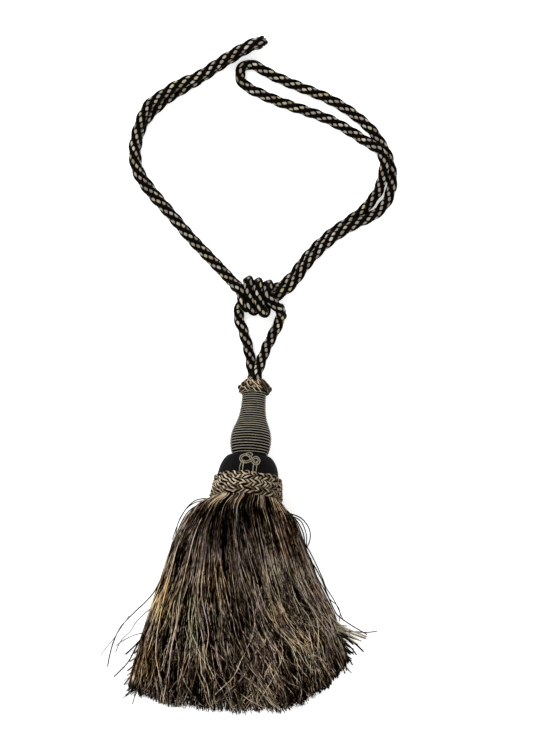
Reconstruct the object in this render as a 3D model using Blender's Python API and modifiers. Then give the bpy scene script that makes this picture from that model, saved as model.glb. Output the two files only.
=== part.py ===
"""Curtain tieback tassel, lying flat.

A twisted rope is wound into a knot and lies in two long loops. Its two ends run down into the
looped ruff on top of a turned, cord-bound tassel head. Below the head hangs a thick skirt of
cut yarn.

Units are metres, +Z is up, and the surface under the tassel is z = 0. The origin is on the
skirt's flat underside. +Y runs from the hem towards the rope. The tables are in millimetres.
"""

import math

import bmesh
import bpy
from mathutils import Euler, Vector

MM = 0.001

# Driving dimensions, in metres
ROPE_D = 0.0088
GAP = 0.0003
HEAD_CENTRE = Vector((0.0016, 0.1051, 0.0360))
HEAD_DIP = math.radians(13.0)
HEAD_LEAN = math.radians(4.2)
TURN_STEPS = 36

# Heights along the head's own axis, from the middle of the band, and radii across it
BAND_LOW = -0.0147
BAND_HIGH = 0.0063
BAND_ROWS = 5
BAND_ROW_POINTS = 3
BAND_ROW_BULGE = 0.0009
BAND_R_LOW = 0.0322
BAND_R_HIGH = 0.0294
DOME_R = 0.0276
BAND_OVERLAP = 0.004
RUFF_LOBES = 9
RUFF_POINTS_PER_LOBE = 5
RUFF_SLOW_WAVES = 4
RUFF_SLOW_START = 0.8
RUFF_SLOW_SHARE = 0.35

# Dome and neck outlines: height along the axis, radius
DOME_PROFILE = [
    {"d": 25.6, "r": 15.6},
    {"d": 25.2, "r": 18.2},
    {"d": 24.0, "r": 20.6},
    {"d": 20.5, "r": 23.3},
    {"d": 16.0, "r": 25.4},
    {"d": 11.0, "r": 26.7},
    {"d": 5.0, "r": 27.5},
]
NECK_PROFILE = [
    {"d": 82.0, "r": 11.2},
    {"d": 78.0, "r": 11.1},
    {"d": 70.0, "r": 11.5},
    {"d": 62.0, "r": 12.7},
    {"d": 55.0, "r": 15.0},
    {"d": 49.0, "r": 17.3},
    {"d": 44.0, "r": 18.4},
    {"d": 39.0, "r": 18.6},
    {"d": 34.0, "r": 18.2},
    {"d": 29.4, "r": 17.1},
    {"d": 26.0, "r": 15.2},
]
# Ruff: height along the axis, radius, and how far its loops stand out
RUFF_PROFILE = [
    {"d": 82.3, "r": 11.6, "lobe": 0.2},
    {"d": 83.6, "r": 13.4, "lobe": 1.2},
    {"d": 86.6, "r": 13.9, "lobe": 1.4},
    {"d": 89.4, "r": 12.9, "lobe": 1.3},
    {"d": 92.2, "r": 11.2, "lobe": 1.0},
    {"d": 94.4, "r": 9.8, "lobe": 0.6},
    {"d": 95.8, "r": 8.8, "lobe": 0.2},
]

# Gimp motif on the dome: heights, half widths and thickness
MOTIF_X = -0.0008
MOTIF_HALF = 0.0082
MOTIF_SPLIT = 0.0036
MOTIF_LOW = 0.0069
MOTIF_STEP = 0.0148
MOTIF_HIGH = 0.0270
MOTIF_THICK = 0.0014
MOTIF_CLEAR = 0.0005
MOTIF_OVER_NECK = 0.0035
MOTIF_PAD_ROWS = 5
NECK_LOW = 0.0260

# Skirt, one row for each section from the band to the hem. xl, yl and xr, yr are its left and
# right edges, bow is how far its middle hangs below them, side is the height of its edges,
# top and under are its crown and underside, lean tips the section, and fold is its unevenness.
SKIRT_ROWS = [
    {"xl": -30.0, "yl": 92.3, "xr": 31.4, "yr": 87.8, "bow": 0, "side": 39.5, "top": 69.5,
     "under": 9.5, "lean": 0.23, "fold": 0.0},
    {"xl": -44.0, "yl": 86.5, "xr": 37.0, "yr": 82.5, "bow": 2, "side": 30.0, "top": 65.5,
     "under": 1.0, "lean": 0.16, "fold": 0.6},
    {"xl": -56.4, "yl": 72.0, "xr": 45.5, "yr": 73.0, "bow": 6, "side": 19.0, "top": 60.0,
     "under": -8.0, "lean": 0.08, "fold": 1.2},
    {"xl": -66.3, "yl": 51.9, "xr": 52.5, "yr": 53.5, "bow": 12, "side": 12.0, "top": 53.0,
     "under": -12.0, "lean": 0.02, "fold": 1.7},
    {"xl": -76.1, "yl": 22.3, "xr": 61.5, "yr": 26.8, "bow": 18, "side": 9.0, "top": 46.0,
     "under": -14.0, "lean": 0.0, "fold": 2.2},
    {"xl": -86.0, "yl": -6.4, "xr": 71.5, "yr": 4.4, "bow": 24, "side": 7.0, "top": 40.0,
     "under": -14.0, "lean": 0.0, "fold": 2.6},
    {"xl": -94.5, "yl": -32.4, "xr": 82.0, "yr": -13.5, "bow": 31, "side": 6.0, "top": 35.0,
     "under": -14.0, "lean": 0.0, "fold": 2.9},
    {"xl": -100.5, "yl": -57.5, "xr": 95.0, "yr": -26.1, "bow": 38, "side": 5.0, "top": 31.0,
     "under": -12.0, "lean": 0.0, "fold": 3.0},
    {"xl": -105.8, "yl": -77.2, "xr": 109.0, "yr": -38.5, "bow": 45, "side": 4.0, "top": 27.0,
     "under": -10.0, "lean": 0.0, "fold": 3.0},
]
# How the hem is trimmed: where across, how wide, and how much longer it hangs there
HEM_TRIM = [(-0.42, 0.33, -8.5), (0.78, 0.14, -4.5)]
SKIRT_ACROSS = 32
SKIRT_BETWEEN = 2
HEM_TOOTH = 0.0042
HEM_EDGE_TOOTH = 0.25
HEM_EDGE_RISE = 2.5
BOW_POWER = 3
TRIM_POWER = 4
FOLD_FROM = 0.05
FOLD_RISE = 1.4
HEM_TEETH = [2, -3, 4, 1, -4, 3, -1, 4, -2, 2, -4, 3, 0, 4, -3, 1, 4, -2]

# Locks of the skirt's surface: waves round it, where they start, how they drift, their height
LOCK_WAVES = [(9, 1.1, 1.3, 0.55), (17, 0.4, -0.9, 0.35), (5, 2.3, 0.0, 0.40)]

# Locks of yarn that stray out of the skirt over the surface, thick at their root
STRAY_ROOT_R = 0.0024
STRAY_TIP_R = 0.0012
STRAY_LOCKS = {
    "left_long": [(-70, 14, 7), (-86, 0, 5), (-106, -19, 3), (-118, -43, 2.4), (-121, -59, 1.6)],
    "left_low": [(-80, -22, 7), (-97, -33, 5), (-113, -40, 3), (-121.5, -45, 1.6)],
    "right_low": [(70, -17, 7), (86, -24, 5), (102, -27, 3), (116, -25, 1.6)],
}

# The rope's route, in order from its first end in the ruff to its second
LEG_RIGHT = [
    (9.5, 199.8, 18.6), (11.3, 207.9, 16.8), (14.3, 216.9, 12.6), (17.6, 225.4, 8.4),
    (21.9, 234.4, 5.4), (26.4, 243.0, 4.5), (30.2, 251.0, 6.0), (31.9, 257.4, 11.5),
    (30.4, 261.8, 16.0), (26.2, 265.4, 20.6),
]
LOOP_LEFT = [
    (-5.6, 278.2, 22.4), (-9.9, 283.0, 19.8), (-16.0, 290.3, 16.0), (-33.0, 308.0, 13.8),
    (-51.0, 326.9, 13.6),
    (-68.9, 348.0, 13.6), (-86.8, 367.9, 13.6), (-97.6, 385.4, 13.6), (-100.3, 404.2, 13.6),
    (-96.9, 422.5, 13.4), (-88.2, 443.3, 11.8), (-74.1, 454.4, 11.8), (-60.4, 462.9, 12.8),
    (-41.6, 470.9, 13.6), (-23.6, 482.6, 14.0), (-7.0, 492.7, 16.0), (3.3, 497.8, 18.8),
    (9.7, 500.3, 18.5), (13.9, 501.7, 15.5), (14.9, 501.4, 11.4), (13.6, 500.9, 7.2),
    (9.4, 499.4, 4.7), (0.0, 495.5, 4.4),
    (-22.9, 481.4, 4.4), (-40.7, 469.4, 4.4), (-57.9, 459.1, 4.4), (-71.1, 450.6, 4.4),
    (-84.2, 438.9, 4.4), (-90.7, 430.8, 4.4), (-95.0, 422.3, 4.4), (-98.8, 404.7, 4.4),
    (-96.6, 386.8, 4.4), (-85.3, 369.2, 4.4), (-67.4, 347.8, 4.4), (-49.4, 326.1, 4.4),
    (-31.4, 307.2, 4.4), (-17.9, 292.8, 5.0), (-11.8, 286.0, 7.6),
]
CORE_OUT = [(-5.5, 280.8, 10.6), (2.2, 277.2, 11.0), (18.6, 276.8, 10.8), (25.6, 279.8, 7.4)]
LOOP_RIGHT = [
    (31.2, 282.4, 5.2), (36.3, 286.0, 4.5), (43.2, 292.9, 4.4), (52.4, 305.3, 4.4),
    (61.6, 315.9, 4.4), (70.5, 324.2, 4.4), (79.4, 331.9, 4.4), (88.4, 337.9, 4.4),
    (104.2, 349.5, 4.4), (111.0, 357.1, 4.4), (117.3, 365.2, 4.8), (120.9, 373.2, 6.7),
    (123.0, 381.1, 10.0), (124.2, 389.0, 13.0), (123.6, 396.6, 13.6), (120.7, 403.3, 13.4),
    (114.9, 407.8, 11.7), (107.8, 412.1, 8.0), (100.7, 417.0, 5.2), (92.6, 422.3, 4.4),
    (75.5, 431.7, 4.4), (57.6, 438.6, 4.4), (39.6, 444.7, 4.4), (21.6, 451.5, 4.4),
    (3.6, 460.0, 4.4), (-1.8, 464.1, 4.4), (-5.1, 469.4, 4.4), (-5.0, 475.7, 4.4),
    (-1.8, 480.0, 4.4), (3.6, 481.6, 4.4), (12.6, 478.4, 4.4), (21.6, 473.0, 4.4),
    (39.6, 464.9, 4.4), (57.6, 457.8, 4.4), (75.5, 450.1, 4.4), (93.5, 439.3, 4.4),
    (111.5, 424.1, 4.4), (123.2, 407.4, 4.4), (128.6, 394.8, 4.4), (131.3, 377.8, 4.4),
    (127.7, 360.7, 4.6), (116.8, 347.6, 6.0), (102.4, 340.2, 10.4), (96.0, 337.0, 12.2),
    (88.9, 332.8, 12.9), (80.8, 327.6, 13.0), (71.8, 320.3, 13.0), (63.3, 312.2, 13.0),
    (54.3, 302.0, 13.0), (45.8, 289.9, 13.1), (40.9, 283.6, 13.4), (36.4, 279.6, 13.5),
]
CORE_BACK = [
    (27.0, 272.9, 15.0), (21.0, 270.4, 16.0), (14.0, 269.6, 16.4), (3.2, 268.6, 15.0),
    (-2.8, 266.0, 11.6),
]
LEG_LEFT = [
    (-5.9, 262.0, 8.3), (-6.5, 256.8, 6.0), (-5.5, 250.4, 4.6), (-2.4, 242.1, 4.4),
    (0.3, 233.1, 4.4), (2.6, 224.1, 5.0), (4.2, 215.1, 6.6), (5.5, 207.0, 8.6),
    (6.0, 199.8, 10.2),
]

# The knot's three turns: flat ovals round the two core ropes. One list says where across the
# knot each quarter turn starts, the other how far each half turn reaches from the middle.
KNOT_MIDDLE_Y = 273.2
KNOT_MIDDLE_Z = 14.2
KNOT_ROUND_Y = 8.6
KNOT_ROUND_Z = 9.8
KNOT_QUARTER_X = [19.8, 20.0, 20.2, 16.2, 11.0, 10.9, 10.0, 6.6, 2.6, 2.4, 2.2, 0.2, -3.4]
KNOT_HALF_REACH = [10.4, 15.1, 12.2, 13.0, 13.9, 10.4]
POINTS_PER_QUARTER = 3

TUBE_LONGEST = 0.026
TUBE_SHORTEST = 0.0045
TUBE_TURN = math.radians(17.0)
TUBE_SIDES = 3
KNOT_INSET = 0.0013
KNOT_VOXEL = 0.0010
KNOT_KEEP = 0.135


# ---------------------------------------------------------------- scene and materials

def clear_scene():
    for old in list(bpy.data.objects):
        bpy.data.objects.remove(old, do_unlink=True)


def new_collection(name):
    collection = bpy.data.collections.new(name)
    bpy.context.scene.collection.children.link(collection)
    return collection


def material(name, colour, roughness):
    made = bpy.data.materials.new(name)
    made.use_nodes = True
    shader = made.node_tree.nodes["Principled BSDF"]
    shader.inputs["Base Color"].default_value = (*colour, 1.0)
    shader.inputs["Roughness"].default_value = roughness
    shader.inputs["Metallic"].default_value = 0.0
    return made


def add_object(name, data, collection, look=None):
    made = bpy.data.objects.new(name, data)
    collection.objects.link(made)
    if look is not None:
        data.materials.append(look)
    return made


# ---------------------------------------------------------------- curves and tables

def blend_points(before, start, end, after, t):
    """A point on the Catmull-Rom curve between start and end."""
    return 0.5 * (
        2 * start
        + (end - before) * t
        + (2 * before - 5 * start + 4 * end - after) * t * t
        + (3 * start - before - 3 * end + after) * t * t * t
    )


def smooth_line(points, pieces):
    """The points and a smooth curve through them, with this many pieces between two."""
    line = []
    last = len(points) - 1
    for i in range(last):
        before = points[max(i - 1, 0)]
        after = points[min(i + 2, last)]
        for k in range(pieces):
            line.append(blend_points(before, points[i], points[i + 1], after, k / pieces))
    line.append(points[last])
    return line


def smooth_rows(rows, pieces):
    """A table's rows with smooth ones between them."""
    names = list(rows[0])
    columns = [smooth_line([float(row[name]) for row in rows], pieces) for name in names]
    return [dict(zip(names, values)) for values in zip(*columns)]


def in_metres(point):
    return Vector(point) * MM


def knot_section(half, share):
    """Where the winding is, up and down and front to back, this share along a half turn."""
    side = -1 if half % 2 else 1
    flat = KNOT_HALF_REACH[half] - KNOT_ROUND_Y
    bend = math.pi * (KNOT_ROUND_Y + KNOT_ROUND_Z) / 2
    along = share * (2 * flat + bend)
    angle = min(max((along - flat) / bend, 0.0), 1.0) * math.pi
    straight = min(along, flat, 2 * flat + bend - along)
    y = straight + KNOT_ROUND_Y * math.sin(angle)
    return KNOT_MIDDLE_Y + side * y, KNOT_MIDDLE_Z + side * KNOT_ROUND_Z * math.cos(angle)


def knot_turns():
    points = []
    steps = 2 * POINTS_PER_QUARTER
    for i, x in enumerate(smooth_line(KNOT_QUARTER_X, POINTS_PER_QUARTER)):
        half, step = divmod(i, steps)
        if half == len(KNOT_HALF_REACH):
            half, step = half - 1, steps
        points.append((x, *knot_section(half, step / steps)))
    return points


def rope_sections():
    return {
        "leg_right": LEG_RIGHT,
        "turns": knot_turns(),
        "loop_left": LOOP_LEFT,
        "core_out": CORE_OUT,
        "loop_right": LOOP_RIGHT,
        "core_back": CORE_BACK,
        "leg_left": LEG_LEFT,
    }


def rope_line(pieces=6):
    """The whole rope's smooth centre line, and the first and last index of each section."""
    points, marks = [], {}
    for name, section in rope_sections().items():
        marks[name] = (len(points) * pieces, (len(points) + len(section) - 1) * pieces)
        points += [in_metres(point) for point in section]
    line = smooth_line(points, pieces)
    for point in line:
        point.z = max(point.z, ROPE_D / 2)
    return line, marks


def thin_line(line):
    """Fewer points: closer together where the line turns than where it runs straight.

    The two points at each end stay, so that each end face is square to the line there.
    """
    kept = [line[0], line[1]]
    run, turned = 0.0, 0.0
    for before, here, after in zip(line[1:], line[2:], line[3:-1]):
        run += (here - before).length
        turned += (here - before).angle(after - here, 0.0)
        if run >= TUBE_LONGEST or (run >= TUBE_SHORTEST and turned >= TUBE_TURN):
            kept.append(here)
            run, turned = 0.0, 0.0
    if (kept[-1] - line[-1]).length < TUBE_SHORTEST:
        kept.pop()
    return kept + line[-2:]


def cut_ends(line, first, last):
    """The line without this length at its first and last ends."""
    for length, end in ((first, 0), (last, -1)):
        while length > 0:
            neighbour = line[1] if end == 0 else line[-2]
            reach = (neighbour - line[end]).length
            if reach > length:
                line[end] = line[end].lerp(neighbour, length / reach)
                break
            length -= reach
            line.pop(end)
    return line


# ---------------------------------------------------------------- shapes

def tube_curve(name, line, radii, sides):
    curve = bpy.data.curves.new(name, "CURVE")
    curve.dimensions = "3D"
    curve.bevel_depth = 1.0
    curve.bevel_resolution = sides
    curve.use_fill_caps = True
    spline = curve.splines.new("POLY")
    spline.points.add(len(line) - 1)
    for point, place, radius in zip(spline.points, line, radii):
        point.co = (*place, 1.0)
        point.radius = radius
    return curve


def curve_mesh(curve, name):
    """A closed mesh of a tube curve, with its caps welded on."""
    guide = bpy.data.objects.new(name + "_guide", curve)
    bpy.context.scene.collection.objects.link(guide)
    bpy.context.view_layer.update()
    evaluated = guide.evaluated_get(bpy.context.evaluated_depsgraph_get())
    mesh = bpy.data.meshes.new_from_object(evaluated)
    bpy.data.objects.remove(guide, do_unlink=True)
    shape = bmesh.new()
    shape.from_mesh(mesh)
    bmesh.ops.remove_doubles(shape, verts=shape.verts, dist=0.00001)
    bmesh.ops.recalc_face_normals(shape, faces=shape.faces)
    shape.to_mesh(mesh)
    shape.free()
    return mesh


def smooth_shade(mesh, degrees=40):
    mesh.shade_smooth()
    mesh.set_sharp_from_angle(angle=math.radians(degrees))


def turned_piece(name, profile, collection, look, head, closed=False):
    """A solid of revolution about the head's axis, from (radius, height) pairs, top to bottom."""
    mesh = bpy.data.meshes.new(name)
    edges = [(i, i + 1) for i in range(len(profile) - 1)]
    if closed:
        edges.append((len(profile) - 1, 0))
    mesh.from_pydata([(r, 0.0, d) for r, d in profile], edges, [])
    piece = add_object(name, mesh, collection, look)
    screw = piece.modifiers.new("Turn", "SCREW")
    screw.axis = "Z"
    screw.angle = 2 * math.pi
    screw.steps = TURN_STEPS
    screw.render_steps = TURN_STEPS
    screw.use_merge_vertices = True
    screw.merge_threshold = 0.00005
    screw.use_smooth_shade = True
    piece.parent = head
    return piece


def loft(name, rings, collection, look):
    """A closed solid through rings of equal count. Its ends are closed by flat fans."""
    shape = bmesh.new()
    rows = [[shape.verts.new(point) for point in ring] for ring in rings]
    count = len(rows[0])
    for low, high in zip(rows, rows[1:]):
        for i in range(count):
            k = (i + 1) % count
            shape.faces.new((low[i], low[k], high[k], high[i]))
    shape.faces.new(list(reversed(rows[0])))
    for i in range(1, count // 2):
        k = count - i
        corners = [rows[-1][i], rows[-1][i + 1], rows[-1][k - 1], rows[-1][k]]
        if i + 1 == k - 1:
            corners.pop(2)
        shape.faces.new(corners)
    shape.faces.new((rows[-1][0], rows[-1][1], rows[-1][-1]))
    bmesh.ops.recalc_face_normals(shape, faces=shape.faces)
    mesh = bpy.data.meshes.new(name)
    shape.to_mesh(mesh)
    shape.free()
    smooth_shade(mesh)
    return add_object(name, mesh, collection, look)


def profile_radius(profile, d):
    """The radius of a turned outline at height d, both in metres."""
    rows = sorted(profile, key=lambda row: row["d"])
    for low, high in zip(rows, rows[1:]):
        if low["d"] * MM <= d <= high["d"] * MM:
            share = (d / MM - low["d"]) / (high["d"] - low["d"])
            return (low["r"] + share * (high["r"] - low["r"])) * MM
    nearest = rows[0] if d < rows[0]["d"] * MM else rows[-1]
    return nearest["r"] * MM


# ---------------------------------------------------------------- the tassel's head

def make_head_frame(collection):
    """An empty at the middle of the band. Its Z runs up the head's axis and its -Y faces up."""
    head = bpy.data.objects.new("head_axis", None)
    collection.objects.link(head)
    head.location = HEAD_CENTRE
    head.rotation_euler = Euler((-math.pi / 2 - HEAD_DIP, 0.0, -HEAD_LEAN))
    return head


def make_dome(collection, head):
    look = material("dome_floss", (0.022, 0.019, 0.018), 0.55)
    profile = [(0.0, DOME_PROFILE[0]["d"] * MM)]
    profile += [(row["r"] * MM, row["d"] * MM) for row in DOME_PROFILE]
    low = BAND_LOW + GAP
    profile += [(DOME_R, BAND_HIGH - BAND_OVERLAP), (DOME_R, low), (0.0, low)]
    return turned_piece("dome", profile, collection, look, head)


def make_neck(collection, head):
    look = material("neck_winding", (0.40, 0.37, 0.31), 0.6)
    profile = [(0.0, NECK_PROFILE[0]["d"] * MM)]
    profile += [(row["r"] * MM, row["d"] * MM) for row in NECK_PROFILE]
    profile.append((0.0, NECK_PROFILE[-1]["d"] * MM))
    return turned_piece("neck", profile, collection, look, head)


def make_band(collection, head):
    look = material("band_gimp", (0.42, 0.35, 0.25), 0.7)
    inner = DOME_R + GAP
    profile = [(inner, BAND_HIGH)]
    steps = BAND_ROWS * BAND_ROW_POINTS
    for i in range(steps + 1):
        down = i / steps
        r = BAND_R_HIGH + (BAND_R_LOW - BAND_R_HIGH) * down
        r += BAND_ROW_BULGE * abs(math.sin(math.pi * BAND_ROWS * down))
        profile.append((r, BAND_HIGH + (BAND_LOW - BAND_HIGH) * down))
    profile.append((inner, BAND_LOW))
    return turned_piece("band", profile, collection, look, head, closed=True)


def make_ruff(collection, head):
    look = material("ruff_loops", (0.45, 0.38, 0.29), 0.75)
    count = RUFF_LOBES * RUFF_POINTS_PER_LOBE
    rings = []
    for row in RUFF_PROFILE:
        ring = []
        for i in range(count):
            angle = 2 * math.pi * i / count
            slow = math.cos(RUFF_SLOW_WAVES * angle + RUFF_SLOW_START)
            wave = math.cos(RUFF_LOBES * angle) + RUFF_SLOW_SHARE * slow
            r = (row["r"] + row["lobe"] * wave / (1 + RUFF_SLOW_SHARE)) * MM
            ring.append((r * math.cos(angle), r * math.sin(angle), row["d"] * MM))
        rings.append(ring)
    ruff = loft("ruff", rings, collection, look)
    ruff.parent = head
    return ruff


def make_motif(collection, head):
    """The gimp motif: a knotted pad over two pairs of legs, bent round the dome."""
    look = material("motif_gimp", (0.50, 0.45, 0.35), 0.65)
    rise = (MOTIF_HIGH - MOTIF_STEP) / (MOTIF_PAD_ROWS - 1)
    pad_rows = [MOTIF_STEP + rise * i for i in range(MOTIF_PAD_ROWS)]
    rows = [MOTIF_LOW, (MOTIF_LOW + MOTIF_STEP) / 2] + pad_rows
    leg = (MOTIF_HALF - MOTIF_SPLIT) / 2
    across = [-MOTIF_HALF + leg * i for i in range(3)]
    across += [0.0] + [MOTIF_SPLIT + leg * i for i in range(3)]
    shape = bmesh.new()
    grid = []
    for d in rows:
        over_dome = profile_radius(DOME_PROFILE, d)
        over_neck = profile_radius(NECK_PROFILE, max(d, NECK_LOW)) + MOTIF_OVER_NECK
        r = max(over_dome, over_neck) + MOTIF_CLEAR
        line = []
        for x in across:
            place = x + MOTIF_X
            line.append(shape.verts.new((place, -math.sqrt(r * r - place * place), d)))
        grid.append(line)
    for j in range(len(rows) - 1):
        for i in range(len(across) - 1):
            below_pad = j < len(rows) - MOTIF_PAD_ROWS
            between_legs = below_pad and 0.0 in (across[i], across[i + 1])
            if not between_legs:
                shape.faces.new((grid[j][i], grid[j][i + 1], grid[j + 1][i + 1], grid[j + 1][i]))
    loose = [v for v in shape.verts if not v.link_faces]
    bmesh.ops.delete(shape, geom=loose, context="VERTS")
    mesh = bpy.data.meshes.new("motif")
    shape.to_mesh(mesh)
    shape.free()
    motif = add_object("motif", mesh, collection, look)
    solid = motif.modifiers.new("Thickness", "SOLIDIFY")
    solid.thickness = MOTIF_THICK
    solid.offset = 1.0
    motif.parent = head
    return motif


# ---------------------------------------------------------------- skirt

def skirt_fold(angle, row_share, amount):
    """How far the skirt's surface stands out at an angle round its section, uneven like locks."""
    return amount * sum(height * math.sin(waves * angle + start + drift * row_share)
                        for waves, start, drift, height in LOCK_WAVES)


def skirt_ring(row, share, is_hem):
    left = Vector((row["xl"], row["yl"], 0.0))
    right = Vector((row["xr"], row["yr"], 0.0))
    across = (right - left) / 2
    down = Vector((across.y, -across.x, 0.0)).normalized()
    middle = (left + right) / 2
    count = 2 * SKIRT_ACROSS
    ring = []
    for i in range(count):
        angle = 2 * math.pi * i / count
        u = -math.cos(angle)
        rise = math.sin(angle)
        half = row["top"] - row["side"] if rise > 0 else row["side"] - row["under"]
        z = row["side"] + half * rise
        if rise > FOLD_FROM:
            z += skirt_fold(angle, share, row["fold"]) * min(1.0, rise * FOLD_RISE)
        place = middle + across * u + down * row["bow"] * (1 - abs(u) ** BOW_POWER)
        for spot, wide, longer in HEM_TRIM:
            here = math.exp(-((u - spot) / wide) ** 2) * share ** TRIM_POWER
            place += down * longer * here
        if is_hem:
            tooth = HEM_TEETH[min(i, count - i) % len(HEM_TEETH)] / max(HEM_TEETH)
            ragged = min(1.0, HEM_EDGE_RISE * (1 - abs(u)) + HEM_EDGE_TOOTH)
            place += down * (tooth * HEM_TOOTH / MM) * ragged
        place.y += row["lean"] * (z - row["side"])
        ring.append(Vector((place.x, place.y, max(z, 0.0))) * MM)
    return ring


def make_stray_lock(name, points, cutters):
    line = smooth_line([in_metres(point) for point in points], 2)
    last = len(line) - 1
    radii = [STRAY_ROOT_R + (STRAY_TIP_R - STRAY_ROOT_R) * i / last for i in range(last + 1)]
    mesh = curve_mesh(tube_curve(name, line, radii, 1), name)
    lock = add_object("lock_" + name, mesh, cutters)
    lock.hide_render = True
    lock.display_type = "WIRE"
    return lock


def make_skirt(collection, cutters):
    look = material("skirt_yarn", (0.115, 0.095, 0.070), 0.8)
    rows = smooth_rows(SKIRT_ROWS, SKIRT_BETWEEN)
    last = len(rows) - 1
    rings = [skirt_ring(row, i / last, i == last) for i, row in enumerate(rows)]
    skirt = loft("skirt", rings, collection, look)
    for name, points in STRAY_LOCKS.items():
        join = skirt.modifiers.new("Lock " + name, "BOOLEAN")
        join.operation = "UNION"
        join.solver = "EXACT"
        join.object = make_stray_lock(name, points, cutters)
    return skirt


# ---------------------------------------------------------------- rope

def rope_look(name):
    return material(name, (0.055, 0.048, 0.040), 0.75)


def make_rope_tube(name, line, collection):
    thin = thin_line(line)
    curve = tube_curve(name, thin, [ROPE_D / 2] * len(thin), TUBE_SIDES)
    return add_object(name, curve, collection, rope_look(name + "_fibre"))


def make_knot(line, marks, collection):
    """The wound turns and the two core ropes in them, merged into one solid."""
    spans = [
        (marks["leg_right"][1], marks["loop_left"][0]),
        (marks["loop_left"][1], marks["loop_right"][0]),
        (marks["loop_right"][1], marks["leg_left"][0]),
    ]
    shape = bmesh.new()
    for i, (first, last) in enumerate(spans):
        span = cut_ends(line[first:last + 1], KNOT_INSET, KNOT_INSET)
        step = span[::2] + ([span[-1]] if len(span) % 2 == 0 else [])
        curve = tube_curve(f"knot_rope_{i}", step, [ROPE_D / 2] * len(step), TUBE_SIDES)
        shape.from_mesh(curve_mesh(curve, f"knot_rope_{i}"))
    mesh = bpy.data.meshes.new("knot")
    shape.to_mesh(mesh)
    shape.free()
    knot = add_object("knot", mesh, collection, rope_look("knot_fibre"))
    merge = knot.modifiers.new("Merge", "REMESH")
    merge.mode = "VOXEL"
    merge.voxel_size = KNOT_VOXEL
    fewer = knot.modifiers.new("Fewer faces", "DECIMATE")
    fewer.ratio = KNOT_KEEP
    return knot


def make_rope(collection):
    line, marks = rope_line()
    names = {
        "rope_leg_right": "leg_right",
        "rope_loop_left": "loop_left",
        "rope_loop_right": "loop_right",
        "rope_leg_left": "leg_left",
    }
    for node, section in names.items():
        first, last = marks[section]
        make_rope_tube(node, line[first:last + 1], collection)
    make_knot(line, marks, collection)


def main():
    clear_scene()
    parts = new_collection("tieback_tassel")
    cutters = new_collection("tieback_tassel_cutters")
    head = make_head_frame(parts)
    make_skirt(parts, cutters)
    make_band(parts, head)
    make_dome(parts, head)
    make_neck(parts, head)
    make_ruff(parts, head)
    make_motif(parts, head)
    make_rope(parts)
    bpy.context.view_layer.update()


main()
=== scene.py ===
# %% [markdown]
# # A curtain tieback tassel
#
# This lesson builds the visible tassel round a finished CAD model of it. The CAD model says where
# each piece is and how large it is. Blender adds what the eye sees: rope strands, windings, gimp,
# loops and thousands of cut yarns.
#
# Most pieces repeat something along a path or over a surface, so Geometry Nodes make them. Each
# recipe has named inputs, and its result is kept as a plain mesh.

# %% Load the frame
import math
import random

import bmesh
import bpy
from mathutils import Euler, Matrix, Vector


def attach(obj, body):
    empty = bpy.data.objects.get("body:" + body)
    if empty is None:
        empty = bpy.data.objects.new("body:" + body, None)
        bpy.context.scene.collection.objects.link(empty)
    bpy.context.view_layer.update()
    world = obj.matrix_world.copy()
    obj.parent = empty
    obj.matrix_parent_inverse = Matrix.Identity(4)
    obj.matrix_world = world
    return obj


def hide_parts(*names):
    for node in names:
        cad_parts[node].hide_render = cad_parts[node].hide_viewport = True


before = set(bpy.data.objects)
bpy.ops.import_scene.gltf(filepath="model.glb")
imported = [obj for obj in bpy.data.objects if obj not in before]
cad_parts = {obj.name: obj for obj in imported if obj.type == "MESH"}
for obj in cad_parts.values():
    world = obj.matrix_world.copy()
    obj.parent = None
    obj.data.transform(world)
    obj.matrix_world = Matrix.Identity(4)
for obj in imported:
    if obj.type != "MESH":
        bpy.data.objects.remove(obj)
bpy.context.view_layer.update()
MM = 0.001
scene = bpy.context.scene
print("CAD nodes:", sorted(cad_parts))

# %% [markdown]
# The tassel lies on a pale table and is seen from straight above. A long lens, far away, keeps the
# sides of the rope and the tassel parallel, as a product picture does. The light is soft and comes
# from all round, with one large lamp that gives the yarns their small highlights.

# %% Camera
CAMERA_PLACE = (0.0261, 0.21015, 3.2)
FRAME_HEIGHT = 0.6597
SENSOR = 36.0

camera_data = bpy.data.cameras.new("camera")
camera_data.sensor_width = SENSOR
camera_data.lens = SENSOR * CAMERA_PLACE[2] / FRAME_HEIGHT
camera = bpy.data.objects.new("camera", camera_data)
camera.location = CAMERA_PLACE
scene.collection.objects.link(camera)
scene.camera = camera
print("lens", round(camera_data.lens, 1), "mm")

# %% Node trees written as sums


def colour4(value):
    """A colour's three numbers with a fourth. Anything else stays as it is."""
    return (*value, 1.0) if isinstance(value, tuple) and len(value) == 3 else value


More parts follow.
